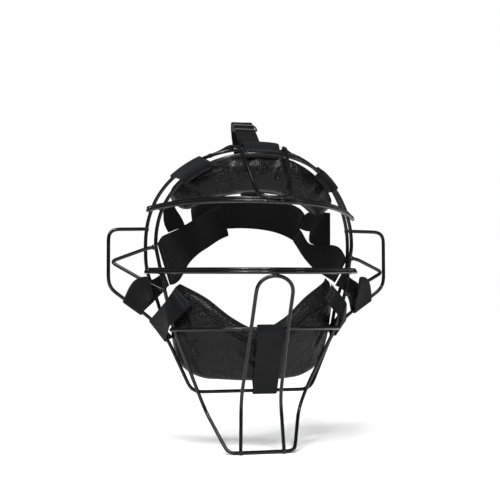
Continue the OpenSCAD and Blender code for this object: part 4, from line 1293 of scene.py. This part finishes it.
temple_left = strap(
    ((-72.5, 13.5, 44), (0.85, -0.35, 0.45), TEMPLE_W),
    ((-77, 10.5, 52.5), (0.88, -0.3, 0.4), TEMPLE_W),
    ((-80.5, 7, 61), (0.9, -0.1, 0.35), TEMPLE_W - 5),
    ((-82.5, 4.6, 67), (0.95, 0, 0.3), TEMPLE_W - 7))
# The right temple strap also takes the upper half of the back band's end
yoke = [
    arm_row(ARM_GAP, 0.25),
    arm_row(ARM_RUN, 0.25),
    row((REAR_HALF_W - 32, 31, 54.5), UP, BAND_W / 2 + 4),
    row((REAR_HALF_W - 28, 23.5, 53.5), UP, BAND_W / 2 + 7),
    row((REAR_HALF_W - 27.4, 22.5, 46), UP, SIDE_W + 2),
    row((REAR_HALF_W - 22.5, 14, 45.5), UP, SIDE_W),
    row((REAR_HALF_W - 17.5, 6, 45.5), UP, SIDE_W - 2)]

loop_point = mix(jaw_half[2], jaw_knee, 0.58)
loop_run = unit(jaw_knee - jaw_half[2])
loop_out = unit(np.cross(loop_run, V(0, -1, 0)))
LOOP_PASS = 2 * WIRE_R + BAND_T
LOOP_R = WIRE_R + WRAP_GAP + BAND_T / 2
down = V(0.1, 0, -1)
slant = unit(loop_run + down)


def loop_row(deg, slack=0.0):
    a = math.radians(deg)
    at = loop_point + (LOOP_R + slack) * (math.cos(a) * V(0, -1, 0) + math.sin(a) * loop_out)
    return row(at, loop_run, LOOP_W)


side_loop = strap(
    (front_z(-6) + (5, 10, 0), down, LOOP_W - 5),
    (front_z(-11) + (-1, LOOP_PASS + 0.4, 0), down, LOOP_W - 8),
    (front_z(-20) + (-14, 15.5, 0), slant, LOOP_W - 3),
    loop_row(240, 0.5)) + [loop_row(a) for a in np.arange(225, 49, -12.5)] + strap(
        loop_row(40, 0.8),
        (front_z(-20) + (-21.5, 9.5, 2), slant, LOOP_W + 2),
        (front_z(-15) + (-13, -0.5, 0), down, LOOP_W - 2))

seat_low, seat_high = rear_x(TOP_X - TOP_W / 2), rear_x(TOP_X + TOP_W / 2)
seat_run = unit(seat_high - seat_low)
strap_seat = (seat_low + seat_high) / 2 + (0, CROWN_R + TAB_T / 2 + BAND_T / 2 + LAYER_GAP, 0)
strap_rise = V(0.3, 3.5, 9)
strap_high = V(TOP_X + 4, 20, TOP_Z - 2)
strap_foot = V(BAND_X + 12, BAND_Y - 1, BAND_Z + BAND_W / 2 + LAYER_GAP + 0.2)
top_strap = strap(
    (strap_seat + (0, 0, -CROWN_REAR_L + 3), seat_run, TOP_W),
    (strap_seat + (0, 0, -4), seat_run, TOP_W),
    (strap_seat + (0, 0.8, 3), seat_run, TOP_W),
    (strap_seat + strap_rise, X_AXIS, TOP_W)) + strap(
        (strap_high, X_AXIS, TOP_W),
        ((TOP_X + 5, 32, TOP_Z + 1), X_AXIS, TOP_W),
        ((TOP_X + 9, 48, TOP_Z - 10), X_AXIS, TOP_W),
        ((BAND_X + 2, BAND_Y - 8, 122), X_AXIS, TOP_W),
        (strap_foot + (-3, 0, 18), X_AXIS, TOP_W + 2),
        (strap_foot + (0, 0, 5), X_AXIS, TOP_W + 5)) + [row(strap_foot, X_AXIS, TOP_W + 5)]

STRETCH = ("cage", "harness", (0, 0.006, 0), (0, 0.042, 0))
TOP_STRETCH = ("cage", "harness", (0, 0.034, 0), (0, 0.066, 0))
BAND_STEP = 1.6
loop_grid = soften(even_rows(ribbon_grid(side_loop), BAND_STEP), 3)
bands = [(name, soften(even_rows(ribbon_grid(rows), BAND_STEP), 3), ELASTIC, "elastic", node, stretch)
         for name, rows, node, stretch in (
             ("head_band", band_rows, "back_band", None),
             ("side_band_left", side_left, "side_strap_left", STRETCH),
             ("side_band_right", side_right, "side_strap_right", STRETCH),
             ("temple_band_left", temple_left, "temple_strap_left", STRETCH),
             ("temple_band_right", yoke, "temple_strap_right", STRETCH),
             ("crown_band", top_strap, "top_strap", TOP_STRETCH))]
bands += [("ear_loop_" + side, g, LOOP, "loop_webbing", "side_loop_" + side, None)
          for side, g in (("left", loop_grid), ("right", mirror_grid(loop_grid)))]
for k, (name, g, mat, slot_name, node, stretch) in enumerate(bands):
    body = "harness" if name == "head_band" else "cage"
    add_piece(strip(name, g, BAND_T, mat, 0.12, 40 + k), body, slot_name, node, blend=stretch)


# Buckle, in its strap's own directions: along, across and out
run_start = strap_seat + strap_rise
run_u = unit(strap_high - run_start)
run_v = square_to(X_AXIS, run_u)
run_n = np.cross(run_v, run_u)
BUCKLE_AT, BUCKLE_GAP = 0.72, 0.3
buckle_c = mix(run_start, strap_high, BUCKLE_AT)
BAR_N = BAND_T / 2 + BUCKLE_GAP + BUCKLE_BAR / 2
RAIL_V = TOP_W / 2 + BUCKLE_GAP + BUCKLE_BAR / 2


def in_buckle(u, v, n):
    return buckle_c + run_u * u + run_v * v + run_n * n


half_u = BUCKLE_L / 2 - BUCKLE_BAR / 2
corner = [V(half_u, RAIL_V, 0), V(-half_u, RAIL_V, 0), V(-half_u, -RAIL_V, 0), V(half_u, -RAIL_V, 0)]
ring = [p for i in range(4) for p in bend(corner[i - 1], corner[i], corner[(i + 1) % 4], 2.4, 6)]
ring = [in_buckle(u, v, BAR_N if abs(v) < RAIL_V - 1.2 else BAR_N * 0.4) for u, v, _ in ring]
frame_line = soften(resample(ring, 0.7, True), 4, True)
mid_line = smooth([in_buckle(0, v, n) for v, n in (
    (-RAIL_V, BAR_N * 0.3), (-RAIL_V + 0.9, -BAR_N * 0.8), (-RAIL_V + 2.2, -BAR_N), (0, -BAR_N),
    (RAIL_V - 2.2, -BAR_N), (RAIL_V - 0.9, -BAR_N * 0.8), (RAIL_V, BAR_N * 0.3))], 6)
buckle = joined("strap_slider", [tube_mesh(frame_line, BUCKLE_BAR / 2, 14, True),
                                 tube_mesh(resample(mid_line, 0.8), BUCKLE_BAR / 2, 14)], PLASTIC)
add_piece(buckle, "buckle", "buckle_plastic", "strap_buckle")


# ---- Camera, floor and light, in metres

SENSOR_MM, FOCAL_PX, WIDTH_PX = 36, 1015.2, 500
camera = place("camera", bpy.data.cameras.new("camera"))
bpy.context.scene.camera = camera
camera.data.sensor_width = SENSOR_MM
camera.data.lens = SENSOR_MM * FOCAL_PX / WIDTH_PX
camera.data.clip_start, camera.data.clip_end = 0.01, 50
YAW, PITCH, ROLL = (math.radians(a) for a in (12.98, 1.33, 0.07))
facing = (Matrix.Rotation(-YAW, 4, "Z") @ Matrix.Rotation(PI / 2 + PITCH, 4, "X")
          @ Matrix.Rotation(ROLL, 4, "Z"))
CAMERA_AT = (-0.2321, -1.0126, -0.0014)
camera.matrix_world = Matrix.Translation(CAMERA_AT) @ facing

# The camera sees a white backdrop; everything else gets only a little light from it
BACKDROP, AMBIENT = 1.0, 0.09
world = bpy.data.worlds.new("studio")
bpy.context.scene.world = world
world.use_nodes = True
background = world.node_tree.nodes["Background"]
background.inputs["Color"].default_value = (1, 1, 1, 1)
seen = world.node_tree.nodes.new("ShaderNodeLightPath")
level = world.node_tree.nodes.new("ShaderNodeMapRange")
level.inputs["To Min"].default_value, level.inputs["To Max"].default_value = AMBIENT, BACKDROP
world.node_tree.links.new(seen.outputs["Is Camera Ray"], level.inputs["Value"])
world.node_tree.links.new(level.outputs["Result"], background.inputs["Strength"])
bpy.context.scene.view_settings.view_transform = "Standard"

FLOOR_HALF, FLOOR_GAP = 6, 0.0003
FLOOR_Z = -(BOTTOM_Z + WIRE_R) * MM - FLOOR_GAP
floor_mat = bpy.data.materials.new("pale_floor")
floor_mat.use_nodes = True
floor_inputs = floor_mat.node_tree.nodes["Principled BSDF"].inputs
floor_inputs["Base Color"].default_value = (0.96, 0.96, 0.96, 1)
floor_inputs["Roughness"].default_value = 0.8
floor = place("floor", bpy.data.meshes.new("floor"))
corners = [(x * FLOOR_HALF, y * FLOOR_HALF, FLOOR_Z) for x, y in ((-1, -1), (1, -1), (1, 1), (-1, 1))]
floor.data.from_pydata(corners, [], [(0, 1, 2, 3)])
floor.data.materials.append(floor_mat)


def light(name, kind, strength, way):
    data = bpy.data.lights.new(name, kind)
    data.energy = strength
    obj = place(name, data)
    obj.rotation_euler = Vector(way).to_track_quat("-Z", "Y").to_euler()
    return obj


light("sun", "SUN", 3.8, (0.35, 0.45, -1)).data.angle = math.radians(35)
for name, spot, target, size, power in (
        ("key", (-0.8, -1.2, 0.9), (0, 0, 0), 0.2, 9),
        ("top", (0.0, -0.75, 0.85), (0, 0, 0.1), 0.16, 7),
        ("fill", (1.3, -0.9, 0.4), (0, 0, 0), 0.35, 3)):
    lamp = light(name, "AREA", power, Vector(target) - Vector(spot))
    lamp.location = spot
    lamp.data.shape = "RECTANGLE"
    lamp.data.size = lamp.data.size_y = size
